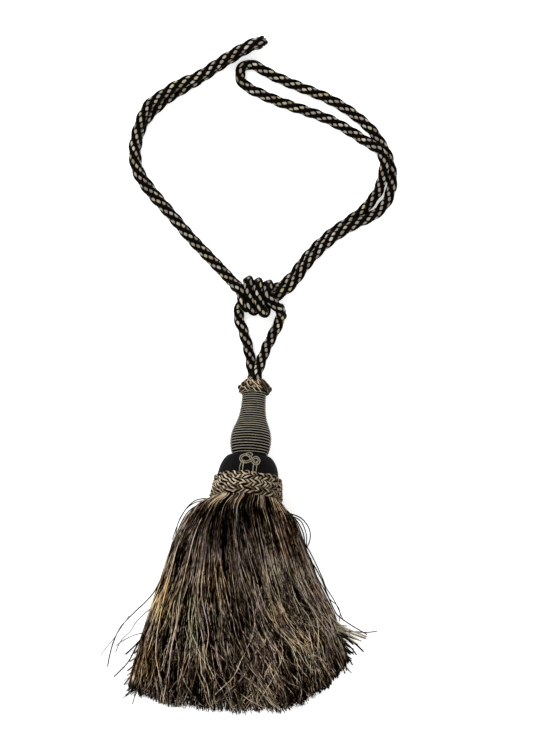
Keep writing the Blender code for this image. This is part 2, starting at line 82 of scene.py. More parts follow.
class Bench:
    """A node tree at work. node() adds any node, sets it and wires it up."""

    def __init__(self, tree):
        self.tree = tree

    def node(self, kind, settings=None, sockets=None, output=0):
        made = self.tree.nodes.new(kind)
        for name, value in (settings or {}).items():
            if name == "stops":
                self.set_stops(made.color_ramp.elements, value)
            elif name == "captures":
                for label, data_type in value:
                    made.capture_items.new(data_type, label)
            else:
                setattr(made, name, value)
        for name, value in (sockets or {}).items():
            self.plug(value, made.inputs[name])
        return Wire(self, made.outputs[output]) if made.outputs else None

    def plug(self, value, socket):
        if isinstance(value, Wire):
            self.tree.links.new(value.socket, socket)
        else:
            socket.default_value = value

    def set_stops(self, elements, stops):
        while len(elements) < len(stops):
            elements.new(0.5)
        for element, (place, colour) in zip(elements, stops):
            element.position, element.color = place, colour4(colour)

    # For any tree

    def vector(self, x=0.0, y=0.0, z=0.0):
        return self.node("ShaderNodeCombineXYZ", None, {"X": x, "Y": y, "Z": z})

    def noise(self, vector, scale, detail=2.0):
        return self.node("ShaderNodeTexNoise", None,
                         {"Vector": vector, "Scale": scale, "Detail": detail})

    def chance(self, x, y, dimensions="2D"):
        """A random number from 0 to 1 for each pair of numbers."""
        return self.node("ShaderNodeTexWhiteNoise", {"noise_dimensions": dimensions},
                         {"Vector": self.vector(x, y)})

    # For materials

    def blend(self, factor, low, high, kind="MIX"):
        settings = {"data_type": "RGBA", "blend_type": kind}
        sockets = {0: factor, 6: colour4(low), 7: colour4(high)}
        return self.node("ShaderNodeMix", settings, sockets, output=2)

    def ramp(self, value, stops):
        return self.node("ShaderNodeValToRGB", {"stops": stops}, {"Fac": value})

    def spot(self):
        """Where a point of the surface lies, in metres."""
        return self.node("ShaderNodeTexCoord").also("Object")

    def stored(self, name):
        """A number that a recipe stored on the mesh."""
        return self.node("ShaderNodeAttribute", {"attribute_name": name}).also("Fac")

    def strands(self):
        """The strand map's two numbers. The second is how far along a point lies."""
        place = self.node("ShaderNodeUVMap", {"uv_map": "strands"})
        return place.part(0), place.part(1)

    # For recipes

    def geometry(self, guide):
        return self.node("GeometryNodeObjectInfo", None, {"Object": guide}).also("Geometry")

    def run(self):
        """How far along its curve a point lies, in metres."""
        return self.node("GeometryNodeSplineParameter", output=1)

    def resampled(self, curve, count):
        return self.node("GeometryNodeResampleCurve", {"mode": "COUNT"},
                         {"Curve": curve, "Count": count})

    def straight(self, count):
        """A straight line of points, for a recipe to bend."""
        line = self.node("GeometryNodeCurvePrimitiveLine", None, {"End": (0.0, 0.0, 1.0)})
        return self.resampled(line, count)

    def note(self, geometry, **values):
        """Notes these values at each point. also() reads them from what is made of it later."""
        kinds = [(name, "VECTOR" if value.socket.type == "VECTOR" else "FLOAT")
                 for name, value in values.items()]
        sockets = {"Geometry": geometry, **dict(enumerate(values.values(), 1))}
        return self.node("GeometryNodeCaptureAttribute", {"captures": kinds}, sockets)

    def mapped(self, geometry, x, along):
        """Stores the strand map on a mesh."""
        return self.node(
            "GeometryNodeStoreNamedAttribute", {"data_type": "FLOAT2", "domain": "CORNER"},
            {"Geometry": geometry, "Name": "strands", "Value": self.vector(x, along)})


class Wire:
    """One output of a node. Arithmetic on it adds Math nodes to its tree."""

    def __init__(self, bench, socket):
        self.bench = bench
        self.socket = socket

    def also(self, name):
        """Another output of the same node."""
        return Wire(self.bench, self.socket.node.outputs[name])

    def maths(self, operation, *others):
        sockets = dict(enumerate((self, *others)))
        return self.bench.node("ShaderNodeMath", {"operation": operation}, sockets)

    def vectors(self, operation, other, output=0):
        return self.bench.node("ShaderNodeVectorMath", {"operation": operation},
                               {0: self, 1: other}, output)

    def scaled(self, size):
        return self.bench.node("ShaderNodeVectorMath", {"operation": "SCALE"},
                               {0: self, "Scale": size})

    def part(self, axis):
        return self.bench.node("ShaderNodeSeparateXYZ", None, {"Vector": self}, output=axis)

    def floor(self):
        return self.maths("FLOOR")

    def at_least(self, low):
        return self.maths("MAXIMUM", low)

    def at_most(self, high):
        return self.maths("MINIMUM", high)

    def zigzag(self):
        """Falls from 1 at each whole number to 0 halfway between two, and rises again."""
        return (self % 1.0 - 0.5).maths("ABSOLUTE") * 2.0

    def step_up(self, low, high):
        """A smooth step from 0 at low to 1 at high."""
        sockets = {"Value": self, "From Min": low, "From Max": high}
        return self.bench.node("ShaderNodeMapRange", {"interpolation_type": "SMOOTHSTEP"}, sockets)

    def __add__(self, other):
        return self.maths("ADD", other)

    __radd__ = __add__

    def __sub__(self, other):
        return self.maths("SUBTRACT", other)

    def __rsub__(self, other):
        return self.maths("MULTIPLY_ADD", -1.0, other)

    def __mul__(self, other):
        return self.maths("MULTIPLY", other)

    __rmul__ = __mul__

    def __truediv__(self, other):
        return self.maths("DIVIDE", other)

    def __rtruediv__(self, other):
        return self.maths("POWER", -1.0) * other

    def __mod__(self, size):
        return self.maths("FLOORED_MODULO", size)

    def __pow__(self, power):
        return self.maths("POWER", power)


# %% Pieces, finishes and recipes


def add_object(name, data):
    made = bpy.data.objects.new(name, data)
    scene.collection.objects.link(made)
    return made


def object_from(name, shape):
    """A new object with the faces of a bmesh."""
    mesh = bpy.data.meshes.new(name)
    shape.to_mesh(mesh)
    shape.free()
    print(f"{name}: {len(mesh.polygons)} faces")
    return add_object(name, mesh)


def skin_rings(shape, grid, map_name=None, rows=None, over=False):
    """Smooth faces from each ring of points to the next. over turns every face over.

    A map gives the share of the way round, and the number in rows for each ring.
    """
    layer = shape.loops.layers.uv.new(map_name) if map_name else None
    steps = len(grid[0])
    for j in range(len(grid) - 1):
        for i in range(steps):
            corners = [(i, j), (i + 1, j), (i + 1, j + 1), (i, j + 1)]
            if over:
                corners = corners[:1] + corners[:0:-1]
            face = shape.faces.new([grid[row][k % steps] for k, row in corners])
            face.smooth = True
            if layer:
                for loop, (k, row) in zip(face.loops, corners):
                    loop[layer].uv = (k / steps, rows[row])


def fit(piece, slot, *nodes):
    """Lets a finished piece ride on the frame, in place of these CAD nodes. slot is not used."""
    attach(piece, "root")
    if nodes:
        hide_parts(*nodes)


def new_finish(name, **constants):
    """A material with these constants on its Principled shader, its bench and the shader."""
    finish = bpy.data.materials.new(name)
    finish.use_nodes = True
    shader = finish.node_tree.nodes["Principled BSDF"]
    for socket, value in constants.items():
        shader.inputs[socket.replace("_", " ")].default_value = value
    return finish, Bench(finish.node_tree), shader


def finish_with(bench, shader, colour, roughness=None, height=None, depth=None):
    """Wires colour, roughness and a bump of this depth in metres to the shader."""
    bench.plug(colour, shader.inputs["Base Color"])
    if roughness is not None:
        bench.plug(roughness, shader.inputs["Roughness"])
    if height is not None:
        bump = bench.node("ShaderNodeBump", None, {"Height": height, "Distance": depth})
        bench.plug(bump, shader.inputs["Normal"])


SOCKET_KINDS = {
    "number": "NodeSocketFloat", "pair": "NodeSocketFloat", "count": "NodeSocketInt",
    "object": "NodeSocketObject", "material": "NodeSocketMaterial",
}


def ends_of(label, is_pair):
    """The sockets of one input: a pair has a low and a high one."""
    return [label + " low", label + " high"] if is_pair else [label]


def new_recipe(name, **inputs):
    """A Geometry Nodes tree's bench, and a wire for each input. Inputs are listed by kind."""
    tree = bpy.data.node_groups.new(name, "GeometryNodeTree")
    tree.interface.new_socket("Geometry", in_out="OUTPUT", socket_type="NodeSocketGeometry")
    labels = []
    for kind, listed in inputs.items():
        for label in listed.split(", "):
            labels += ends_of(label, kind == "pair")
            for end in ends_of(label, kind == "pair"):
                tree.interface.new_socket(end, in_out="INPUT", socket_type=SOCKET_KINDS[kind])
    bench = Bench(tree)
    entry = tree.nodes.new("NodeGroupInput")
    return bench, {label: Wire(bench, entry.outputs[label]) for label in labels}


def end_recipe(bench, geometry, look):
    """Realizes what a recipe made, sets its material and sends it out."""
    real = bench.node("GeometryNodeRealizeInstances", None, {"Geometry": geometry})
    smooth = bench.node("GeometryNodeSetShadeSmooth", None, {"Geometry": real})
    dressed = bench.node("GeometryNodeSetMaterial", None, {"Geometry": smooth, "Material": look})
    bench.node("NodeGroupOutput", None, {"Geometry": dressed})
    return bench


def end_tubes(bench, wire, curves, radius, strands, girth=1.0, **stored):
    """Ends a recipe whose curves become round tubes, with a strand map and stored numbers."""
    ring = bench.node("GeometryNodeCurvePrimitiveCircle", None,
                      {"Resolution": wire["Sides"], "Radius": radius})
    tubes = bench.node("GeometryNodeCurveToMesh", None, {
        "Curve": curves, "Profile Curve": ring, "Scale": girth, "Fill Caps": True})
    for name, value in stored.items():
        tubes = bench.node("GeometryNodeStoreNamedAttribute", {"data_type": "FLOAT"},
                           {"Geometry": tubes, "Name": name, "Value": value})
    return end_recipe(bench, bench.mapped(tubes, *strands), wire["Yarn"])


def cook(name, recipe, values):
    """Runs a recipe with these input values and keeps the result as a plain mesh object."""
    guide = add_object(name + "_guide", bpy.data.meshes.new(name + "_guide"))
    modifier = guide.modifiers.new(name, "NODES")
    modifier.node_group = recipe.tree
    given = {}
    for label, value in values.items():
        is_pair = isinstance(value, tuple)
        given.update(zip(ends_of(label, is_pair), value if is_pair else [value]))
    for item in recipe.tree.interface.items_tree:
        if item.in_out == "INPUT":
            modifier[item.identifier] = given[item.name]
    depsgraph = bpy.context.evaluated_depsgraph_get()
    mesh = bpy.data.meshes.new_from_object(
        guide.evaluated_get(depsgraph), preserve_all_data_layers=True, depsgraph=depsgraph)
    clear_away(guide)
    mesh.name = name
    print(f"{name}: {sum(len(face.vertices) - 2 for face in mesh.polygons)} triangles")
    return add_object(name, mesh)


def guide_curve(name, lines, tilts=None, girths=None, closed=False):
    """A curve object through these lines of points, for a recipe to follow.

    Each point can have a tilt and a girth.
    """
    curve = bpy.data.curves.new(name, "CURVE")
    curve.dimensions = "3D"
    for number, line in enumerate(lines):
        spline = curve.splines.new("POLY")
        spline.points.add(len(line) - 1)
        spline.use_cyclic_u = closed
        for i, point in enumerate(spline.points):
            point.co = (*line[i], 1.0)
            point.tilt = tilts[number][i] if tilts else 0.0
            point.radius = girths[number][i] if girths else 1.0
    return add_object(name, curve)


def clear_away(*guides):
    for guide in guides:
        bpy.data.objects.remove(guide, do_unlink=True)


def waves(table, angle, drift_by):
    """The sum of sine waves round a ring. The table's rows give height, how many, start, drift."""
    return sum(high * math.sin(count * angle + start + drift * drift_by)
               for high, count, start, drift in table)


# %% [markdown]
# ## The rope's route
#
# The tieback is one rope, from its first end in the tassel's head to its second. It goes up into
# the knot, makes three turns, runs out into the left loop, back through the turns, out into the
# right loop, back through the turns again and down to the head. Rows of points give the route, and
# a Catmull-Rom curve runs smoothly through them. The points are in millimetres.

# %% Route tables
ROPE_D = 8.8 * MM
LEG_RIGHT = [
    (9.2, 195.6, 19.6), (9.6, 201.2, 18.2), (11.3, 207.9, 16.8), (14.3, 216.9, 12.6),
    (17.6, 225.4, 8.4), (21.9, 234.4, 5.4), (26.4, 243.0, 4.5), (30.2, 251.0, 6.0),
    (31.9, 257.4, 11.5), (30.4, 261.8, 16.0), (26.2, 265.4, 20.6),
]
LOOP_LEFT = [
    (-5.6, 278.2, 22.4), (-9.9, 283.0, 19.8), (-16.0, 290.3, 16.0), (-33.0, 308.0, 13.8),
    (-51.0, 326.9, 13.6), (-68.9, 348.0, 13.6), (-86.8, 367.9, 13.6), (-97.6, 385.4, 13.6),
    (-100.3, 404.2, 13.6),
    (-96.9, 422.5, 13.4), (-88.2, 443.3, 11.8), (-74.1, 454.4, 11.8), (-60.4, 462.9, 12.8),
    (-41.6, 470.9, 13.6), (-23.6, 482.6, 14.0), (-7.0, 492.7, 16.0), (3.3, 497.8, 18.8),
    (9.7, 500.3, 18.5), (13.9, 501.7, 15.5), (14.9, 501.4, 11.4), (13.6, 500.9, 7.2),
    (9.4, 499.4, 4.7), (0.0, 495.5, 4.4), (-22.9, 481.4, 4.4), (-40.7, 469.4, 4.4),
    (-57.9, 459.1, 4.4), (-71.1, 450.6, 4.4),
    (-84.2, 438.9, 4.4), (-90.7, 430.8, 4.4), (-95.0, 422.3, 4.4), (-98.8, 404.7, 4.4),
    (-96.6, 386.8, 4.4), (-85.3, 369.2, 4.4), (-67.4, 347.8, 4.4), (-49.4, 326.1, 4.4),
    (-31.4, 307.2, 4.4), (-17.9, 292.8, 5.0), (-11.8, 286.0, 7.6),
]
CORE_OUT = [(-5.5, 280.8, 10.6), (2.2, 277.2, 11.0), (18.6, 276.8, 10.8), (25.6, 279.8, 7.4)]
LOOP_RIGHT = [
    (31.2, 282.4, 5.2), (36.3, 286.0, 4.5), (43.2, 292.9, 4.4), (52.4, 305.3, 4.4),
    (61.6, 315.9, 4.4), (70.5, 324.2, 4.4), (79.4, 331.9, 4.4), (88.4, 337.9, 4.4),
    (104.2, 349.5, 4.4), (111.0, 357.1, 4.4), (117.3, 365.2, 4.8),
    (120.9, 373.2, 6.7), (123.0, 381.1, 10.0), (124.2, 389.0, 13.0), (123.6, 396.6, 13.6),
    (120.7, 403.3, 13.4), (114.9, 407.8, 11.7), (107.8, 412.1, 8.0), (100.7, 417.0, 5.2),
    (92.6, 422.3, 4.4), (75.5, 431.7, 4.4), (57.6, 438.6, 4.4), (39.6, 444.7, 4.4),
    (21.6, 451.5, 4.4), (3.6, 460.0, 4.4), (-1.8, 464.1, 4.4), (-5.1, 469.4, 4.4),
    (-5.0, 475.7, 4.4), (-1.8, 480.0, 4.4), (3.6, 481.6, 4.4), (12.6, 478.4, 4.4),
    (21.6, 473.0, 4.4), (39.6, 464.9, 4.4), (57.6, 457.8, 4.4), (75.5, 450.1, 4.4),
    (93.5, 439.3, 4.4), (111.5, 424.1, 4.4), (123.2, 407.4, 4.4), (128.6, 394.8, 4.4),
    (131.3, 377.8, 4.4), (127.7, 360.7, 4.6), (116.8, 347.6, 6.0), (102.4, 340.2, 10.4),
    (96.0, 337.0, 12.2), (88.9, 332.8, 12.9), (80.8, 327.6, 13.0), (71.8, 320.3, 13.0),
    (63.3, 312.2, 13.0), (54.3, 302.0, 13.0), (45.8, 289.9, 13.1), (40.9, 283.6, 13.4),
    (36.4, 279.6, 13.5),
]
CORE_BACK = [
    (27.0, 272.9, 15.0), (21.0, 270.4, 16.0), (14.0, 269.6, 16.4), (3.2, 268.6, 15.0),
    (-2.8, 266.0, 11.6),
]
LEG_LEFT = [
    (-5.9, 262.0, 8.3), (-6.5, 256.8, 6.0), (-5.5, 250.4, 4.6), (-2.4, 242.1, 4.4),
    (0.3, 233.1, 4.4), (2.6, 224.1, 5.0), (4.2, 215.1, 6.6), (5.5, 207.0, 8.6),
    (6.0, 201.2, 9.8), (5.9, 195.6, 11.1),
]

# %% Smooth lines


def blend_points(before, start, end, after, t):
    """A point on the Catmull-Rom curve between start and end."""
    return 0.5 * (2 * start + (end - before) * t
                  + (2 * before - 5 * start + 4 * end - after) * t * t
                  + (3 * start - before - 3 * end + after) * t * t * t)


def smooth_line(points, pieces):
    """A smooth curve through the points, with this many pieces between two."""
    line = []
    last = len(points) - 1
    for i in range(last):
        four = [points[max(i - 1, 0)], points[i], points[i + 1], points[min(i + 2, last)]]
        line += [blend_points(*four, k / pieces) for k in range(pieces)]
    return line + [points[last]]


def vectors(rows):
    return [Vector(row) for row in rows]


def run_of(line):
    """The length of a line of points."""
    return sum((b - a).length for a, b in zip(line, line[1:]))


# %% [markdown]
# The knot's three turns are flat ovals round the two ropes that pass through them. They are worked
# out a quarter at a time: from the middle of the front over the top end, down the back and round
# the bottom end. One short list says where each quarter starts along the knot, and another how far
# each half turn reaches from the middle.

# %% The knot's three turns
KNOT_MIDDLE_Y = 273.2
KNOT_MIDDLE_Z = 14.2
KNOT_ROUND_Y = 8.6
KNOT_ROUND_Z = 9.8
KNOT_QUARTER_X = [19.8, 20.0, 20.2, 16.2, 11.0, 10.9, 10.0, 6.6, 2.6, 2.4, 2.2, 0.2, -3.4]
KNOT_HALF_REACH = [10.4, 15.1, 12.2, 13.0, 13.9, 10.4]
POINTS_PER_QUARTER = 3


def knot_section(half, share):
    """Where the winding is, up and down and front to back, this share along a half turn."""
    side = -1 if half % 2 else 1
    flat = KNOT_HALF_REACH[half] - KNOT_ROUND_Y
    bend = math.pi * (KNOT_ROUND_Y + KNOT_ROUND_Z) / 2
    along = share * (2 * flat + bend)
    angle = min(max((along - flat) / bend, 0.0), 1.0) * math.pi
    straight = min(along, flat, 2 * flat + bend - along)
    y = straight + KNOT_ROUND_Y * math.sin(angle)
    return KNOT_MIDDLE_Y + side * y, KNOT_MIDDLE_Z + side * KNOT_ROUND_Z * math.cos(angle)


def knot_turns():
    points = []
    for i, x in enumerate(smooth_line(KNOT_QUARTER_X, POINTS_PER_QUARTER)):
        half, step = divmod(i, 2 * POINTS_PER_QUARTER)
        if half == len(KNOT_HALF_REACH):
            half, step = half - 1, 2 * POINTS_PER_QUARTER
        points.append((x, *knot_section(half, step / (2 * POINTS_PER_QUARTER))))
    return points


# %% The whole route
POINTS_BETWEEN = 6
route = LEG_RIGHT + knot_turns() + LOOP_LEFT + CORE_OUT + LOOP_RIGHT + CORE_BACK + LEG_LEFT
rope_line = smooth_line([point * MM for point in vectors(route)], POINTS_BETWEEN)
for point in rope_line:
    point.z = max(point.z, ROPE_D / 2)
ROPE_LENGTH = run_of(rope_line)
print("rope length", round(ROPE_LENGTH, 3), "m")

# %% [markdown]
# ## The rope
#
# Three fat black strands of floss and three thinner gimp strands are laid together. The gimp is a
# pale and a dark yarn twisted round each other, so it shows as a row of slanting pale flecks in
# the grooves. A tube with a lobed section, turned steadily along the route, gives all six strands
# as one clean skin. Its own UV map says which strand a point is on and how far along it is, and
# the material paints flecks and fibres from that.

# %% The rope's section
ROPE_LAY = 40.2 * MM
# Radii in millimetres, in the creases and on the crowns of the fat and the thin strands
CREASE_R = 3.25
FAT_R = 5.05
THIN_R = 4.25
LOBE_WIDTH = 2.2
LOBE_HEIGHT = 0.62
THIRD = math.radians(120)
FAT_SPAN = math.radians(64)
FAT_STEPS = 9
THIN_STEPS = 7
STRAND_SPLIT = FAT_STEPS / (FAT_STEPS + THIN_STEPS)


def lobe(t, crown):
    """The radius across one strand, t from 0 at one crease to 1 at the next."""
    return CREASE_R + (crown - CREASE_R) * (1 - abs(2 * t - 1) ** LOBE_WIDTH) ** LOBE_HEIGHT


def rope_section():
    """Points round the rope: a fat and a thin strand in each third, closed onto the first."""
    ring = []
    for third in range(3):
        for spans, start, span, crown in (
                (FAT_STEPS, 0.0, FAT_SPAN, FAT_R),
                (THIN_STEPS, FAT_SPAN, THIRD - FAT_SPAN, THIN_R)):
            for i in range(spans):
                angle = third * THIRD + start + span * i / spans
                r = lobe(i / spans, crown) * MM
                ring.append(Vector((r * math.cos(angle), r * math.sin(angle), 0.0)))
    return ring + [ring[0]]


section = rope_section()
print("points round the rope", len(section) - 1)

# %% The rope's recipe
WELD = 2e-5
bench, wire = new_recipe("lay_rope", object="Route, Section", count="Rings",
                         number="Lay, Points per third, Taper", material="Yarn")
walked = bench.note(bench.resampled(bench.geometry(wire["Route"]), wire["Rings"]), along=bench.run())
along = walked.also("along")
twist = along * (-2 * math.pi) / wire["Lay"]
turned = bench.node("GeometryNodeSetCurveTilt", None, {"Curve": walked, "Tilt": twist})
from_end = along.at_most(bench.node("GeometryNodeSplineLength") - along)
girth = (from_end / wire["Taper"]).at_least(0.0).at_most(1.0) ** 0.5
third = bench.node("GeometryNodeSplineParameter").also("Index") / wire["Points per third"]
marked = bench.note(bench.geometry(wire["Section"]), around=third)
skin = bench.node("GeometryNodeCurveToMesh", None,
                  {"Curve": turned, "Profile Curve": marked, "Scale": girth})
mapped = bench.mapped(skin, marked.also("around"), along)
welded = bench.node("GeometryNodeMergeByDistance", None, {"Geometry": mapped, "Distance": WELD})
lay_rope = end_recipe(bench, welded, wire["Yarn"])

# %% [markdown]
# The floss of the fat strands is black and a little glossy, with fine fibres along each strand.
# Its lighter fibres are partly their own tone and partly a painted sheen.
# The gimp flecks lean across their strand, because the two yarns in it are twisted. Each fleck
# takes its own tone from a random value for its number along the strand: most are a pale
# grey-beige, a few lean to yellow or pink.

# %% Rope yarn
FLECKS_PER_METRE = 236.0
FLECK_LEAN = -0.7
FLECK_LONG = 0.75
FLECK_EDGE = (0.55, 1.15)
# How steeply a fleck falls off lengthwise and sideways, and how far one strand's are ahead
FLECK_FALL = (2.6, 3.0)
FLECK_AHEAD = 0.37
UNEVEN_PER_METRE, UNEVEN = 160.0, 0.5
FLOSS_DARK = (0.0009, 0.0006, 0.0004)
FLOSS_FIBRE_SHEEN = (0.006, 0.0038, 0.0024)
GIMP_TONES = [
    (0.0, (0.15, 0.13, 0.105)), (0.25, (0.28, 0.255, 0.21)), (0.5, (0.27, 0.215, 0.185)),
    (0.7, (0.37, 0.35, 0.30)), (0.88, (0.36, 0.325, 0.20)), (1.0, (0.52, 0.49, 0.43))]
GOLDEN = (1.0, 0.92, 0.62)
GOLDEN_PER_METRE, GOLDEN_EDGE, GOLDEN_DEEP = 24.0, (0.5, 0.66), 0.8
# PLY_SHADE is painted shade in the grooves where a gimp strand's two yarns twist
PLY_SHADE = (0.16, 0.13, 0.10)
PLY_LINES, PLY_LEAN, PLY_DEEP = 900.0, 3.0, 0.35
ROPE_BUMP = 0.6 * MM


def rope_yarn():
    finish, bench, shader = new_finish("rope_fibre", Specular_IOR_Level=0.015)
    around, along = bench.strands()
    share = around % 1.0
    third = around.floor()
    across = (share - STRAND_SPLIT) / (1 - STRAND_SPLIT)
    on_gimp = share.maths("GREATER_THAN", STRAND_SPLIT)
    count = along * FLECKS_PER_METRE + across * FLECK_LEAN + third * FLECK_AHEAD
    # A multiple of the third gives each strand noise of its own
    uneven = bench.noise(bench.vector(along * UNEVEN_PER_METRE, third * 7.0), 1.0, 1.0) - 0.5
    count = count + uneven * UNEVEN
    lengthwise = count.zigzag() / FLECK_LONG
    sideways = (across - 0.5).maths("ABSOLUTE") * 2.0
    reach = lengthwise ** FLECK_FALL[0] + sideways ** FLECK_FALL[1]
    fleck = (1.0 - reach.step_up(*FLECK_EDGE)) * on_gimp
    twist = bench.node("ShaderNodeTexWave", {"wave_type": "BANDS", "bands_direction": "X"}, {
        "Vector": bench.vector(along * PLY_LINES - across * PLY_LEAN), "Scale": 0.3,
        "Distortion": 1.5, "Detail": 1.0})
    fibre = bench.noise(bench.vector(share * 60.0 - along * 700.0, along * 140.0, third * 5.0),
                        1.0, 3.0)
    # Lighter fibres: partly the floss's own tone, partly a painted sheen
    floss = bench.blend(fibre.step_up(0.42, 0.78), FLOSS_DARK, FLOSS_FIBRE_SHEEN)
    tones = bench.ramp(bench.chance(count.floor(), third), GIMP_TONES)
    golden = bench.noise(bench.vector(along * GOLDEN_PER_METRE, third * 3.0), 1.0, 1.0)
    tones = bench.blend(golden.step_up(*GOLDEN_EDGE) * GOLDEN_DEEP, tones, GOLDEN, "MULTIPLY")
    colour = bench.blend(fleck, floss, bench.blend(twist * PLY_DEEP, tones, PLY_SHADE))
    roughness = 0.46 + fleck * 0.25 + (fibre - 0.5) * 0.2
    height = fleck * 0.6 + fibre * 0.35 + fleck * twist * 0.2
    finish_with(bench, shader, colour, roughness, height, ROPE_BUMP)
    return finish


# %% Lay the rope
RINGS_APART = 1.2 * MM
ROPE_TAPER = 2.0 * MM
route_guide = guide_curve("route_guide", [rope_line])
section_guide = guide_curve("section_guide", [section])
rope = cook("rope", lay_rope, {
    "Route": route_guide, "Section": section_guide, "Rings": round(ROPE_LENGTH / RINGS_APART),
    "Lay": ROPE_LAY, "Points per third": float(FAT_STEPS + THIN_STEPS), "Taper": ROPE_TAPER,
    "Yarn": rope_yarn()})
clear_away(route_guide, section_guide)
fit(rope, "rope_fibre", "rope_leg_right", "rope_leg_left", "rope_loop_left", "rope_loop_right", "knot")

# %% [markdown]
# ## The head's own frame
#
# The head is turned on one axis, which leans a little and dips towards the rope. Its pieces are
# made upright in their own frame, with Z up the axis and -Y towards the viewer, and are then put
# in place. The outlines are those of the CAD solids: height along the axis, then radius.

# %% The head's frame and outlines
HEAD_DIP = math.radians(13.0)
HEAD_LEAN = math.radians(4.2)
HEAD = Matrix.LocRotScale(
    Vector((1.6, 105.1, 36.0)) * MM, Euler((-math.pi / 2 - HEAD_DIP, 0.0, -HEAD_LEAN)), None)
OUTLINE_PIECES = 4
NECK_OUTLINE = [
    (26.0, 15.2), (29.4, 17.1), (34.0, 18.2), (39.0, 18.6), (44.0, 18.4), (49.0, 17.3),
    (55.0, 15.0), (62.0, 12.7), (70.0, 11.5), (78.0, 11.1), (83.6, 11.2),
]
DOME_OUTLINE = [
    (-14.2, 27.6), (2.0, 27.6), (5.0, 27.5), (11.0, 26.7), (16.0, 25.4), (20.5, 23.3),
    (24.0, 20.6), (25.4, 18.2), (25.8, 15.6),
]


def radius_at(outline, height):
    """The radius of an outline at a height, both in millimetres."""
    for (low, r_low), (high, r_high) in zip(outline, outline[1:]):
        if height <= high:
            share = max(0.0, (height - low) / (high - low))
            return r_low + (r_high - r_low) * share
    return outline[-1][1]


def on_head(piece, slot, *nodes):
    """Puts a piece made in the head's frame in its place."""
    piece.data.transform(HEAD)
    fit(piece, slot, *nodes)


def turned_mesh(name, outline, steps, finish):
    """A closed turned shape. Its strand map is in metres along the outline."""
    line = smooth_line(vectors(outline), OUTLINE_PIECES)
    angles = [2 * math.pi * i / steps for i in range(steps)]
    shape = bmesh.new()
    grid = [[shape.verts.new((radius * math.cos(a) * MM, radius * math.sin(a) * MM, height * MM))
             for a in angles] for height, radius in line]
    skin_rings(shape, grid, "strands", [run_of(line[:i + 1]) * MM for i in range(len(line))])
    shape.faces.new(list(reversed(grid[0])))
    shape.faces.new(grid[-1])
    piece = object_from(name, shape)
    piece.data.materials.append(finish)
    return piece


# %% [markdown]
# ## The dome
#
# The bell mould between the neck and the band is covered with black floss, laid from top to
# bottom side by side. A smooth turned shape carries it, and the material draws the threads: fine
# ridges that converge towards the top, with a slight sheen across them.

# %% Floss for the moulds
FLOSS_THREADS = 170
FLOSS_STOPS = [(0.25, (0.0018, 0.0015, 0.0017)), (0.75, (0.0070, 0.0060, 0.0068))]
FLOSS_BUMP = 0.25 * MM
# A nearly black painted shade for what lies under the yarns: its mottle and its colours
SHADE_FILL_MOTTLE = 260.0
SHADE_FILL_STOPS = [(0.3, (0.003, 0.002, 0.0015)), (0.8, (0.012, 0.008, 0.006))]


def black_floss(name, threads, lengthwise=True):
    finish, bench, shader = new_finish(name, Specular_IOR_Level=0.015)
    around, along = bench.strands()
    lay = around * threads if lengthwise else along * threads
    drift = bench.noise(bench.vector(around * 24.0, along * 60.0), 1.0, 2.0)
    ridge = (lay + drift * 0.8).zigzag()
    tone = bench.noise(bench.vector(lay.floor() * 3.7, along * 20.0), 1.0, 2.0)
    finish_with(bench, shader, bench.ramp(tone, FLOSS_STOPS), 0.42 + tone * 0.3,
                1.0 - ridge ** 2.0, FLOSS_BUMP)
    return finish


def shade_filler(name):
    """A nearly black finish for what lies under yarn: painted shade for the deep gaps between them."""
    finish, bench, shader = new_finish(name, Roughness=0.9, Specular_IOR_Level=0.02)
    finish_with(bench, shader, bench.ramp(bench.noise(bench.spot(), SHADE_FILL_MOTTLE, 3.0), SHADE_FILL_STOPS))
    return finish


dome = turned_mesh("dome", DOME_OUTLINE, steps=120, finish=black_floss("dome_floss_lay", FLOSS_THREADS))
on_head(dome, "dome_floss", "dome")

# %% [markdown]
# ## The neck
#
# A vase-shaped mould is wound with two cords side by side: a pale grey one, and a thinner black
# one that fills the gap. The recipe takes the mould's outline as a curve, spreads a line of
# points along it from bottom to top, and turns each point round the axis by its share of the
# turns. The turns lie closer together towards the top.

# %% The winding recipe
# The cord slips up and down a little: how far, and its noise down the mould and all over
WINDING_SLIP = 0.6 * MM
SLIP_DOWN, SLIP_SCALE = 9.0, 1.7
bench, wire = new_recipe("wind_mould", object="Outline", count="Points, Sides",
                         number="Turns, Start, Cord radius, Inset, Closer", material="Yarn")
share = bench.node("GeometryNodeSplineParameter")
eased = share * (1.0 + wire["Closer"]) - share * share * wire["Closer"]
spot = bench.node("GeometryNodeSampleCurve", {"use_all_curves": True},
                  {"Curves": bench.geometry(wire["Outline"]), "Factor": eased}).also("Position")
angle = share * wire["Turns"] * (2 * math.pi) + wire["Start"]
x, y = angle.maths("COSINE"), angle.maths("SINE")
slip = bench.noise(bench.vector(x, y, share * SLIP_DOWN), SLIP_SCALE) - 0.5
reach = spot.part(0) - wire["Inset"]
place = bench.vector(reach * x, reach * y, spot.part(2) + slip * WINDING_SLIP)
wound = bench.node("GeometryNodeSetPosition", None,
                   {"Geometry": bench.straight(wire["Points"]), "Position": place})
walked = bench.note(wound, along=bench.run())
wind_mould = end_tubes(bench, wire, walked, wire["Cord radius"], (0.0, walked.also("along")))

# %% Wound cord finish
CORD_SHADE = (0.05, 0.045, 0.035)
CORD_BUMP = 0.12 * MM


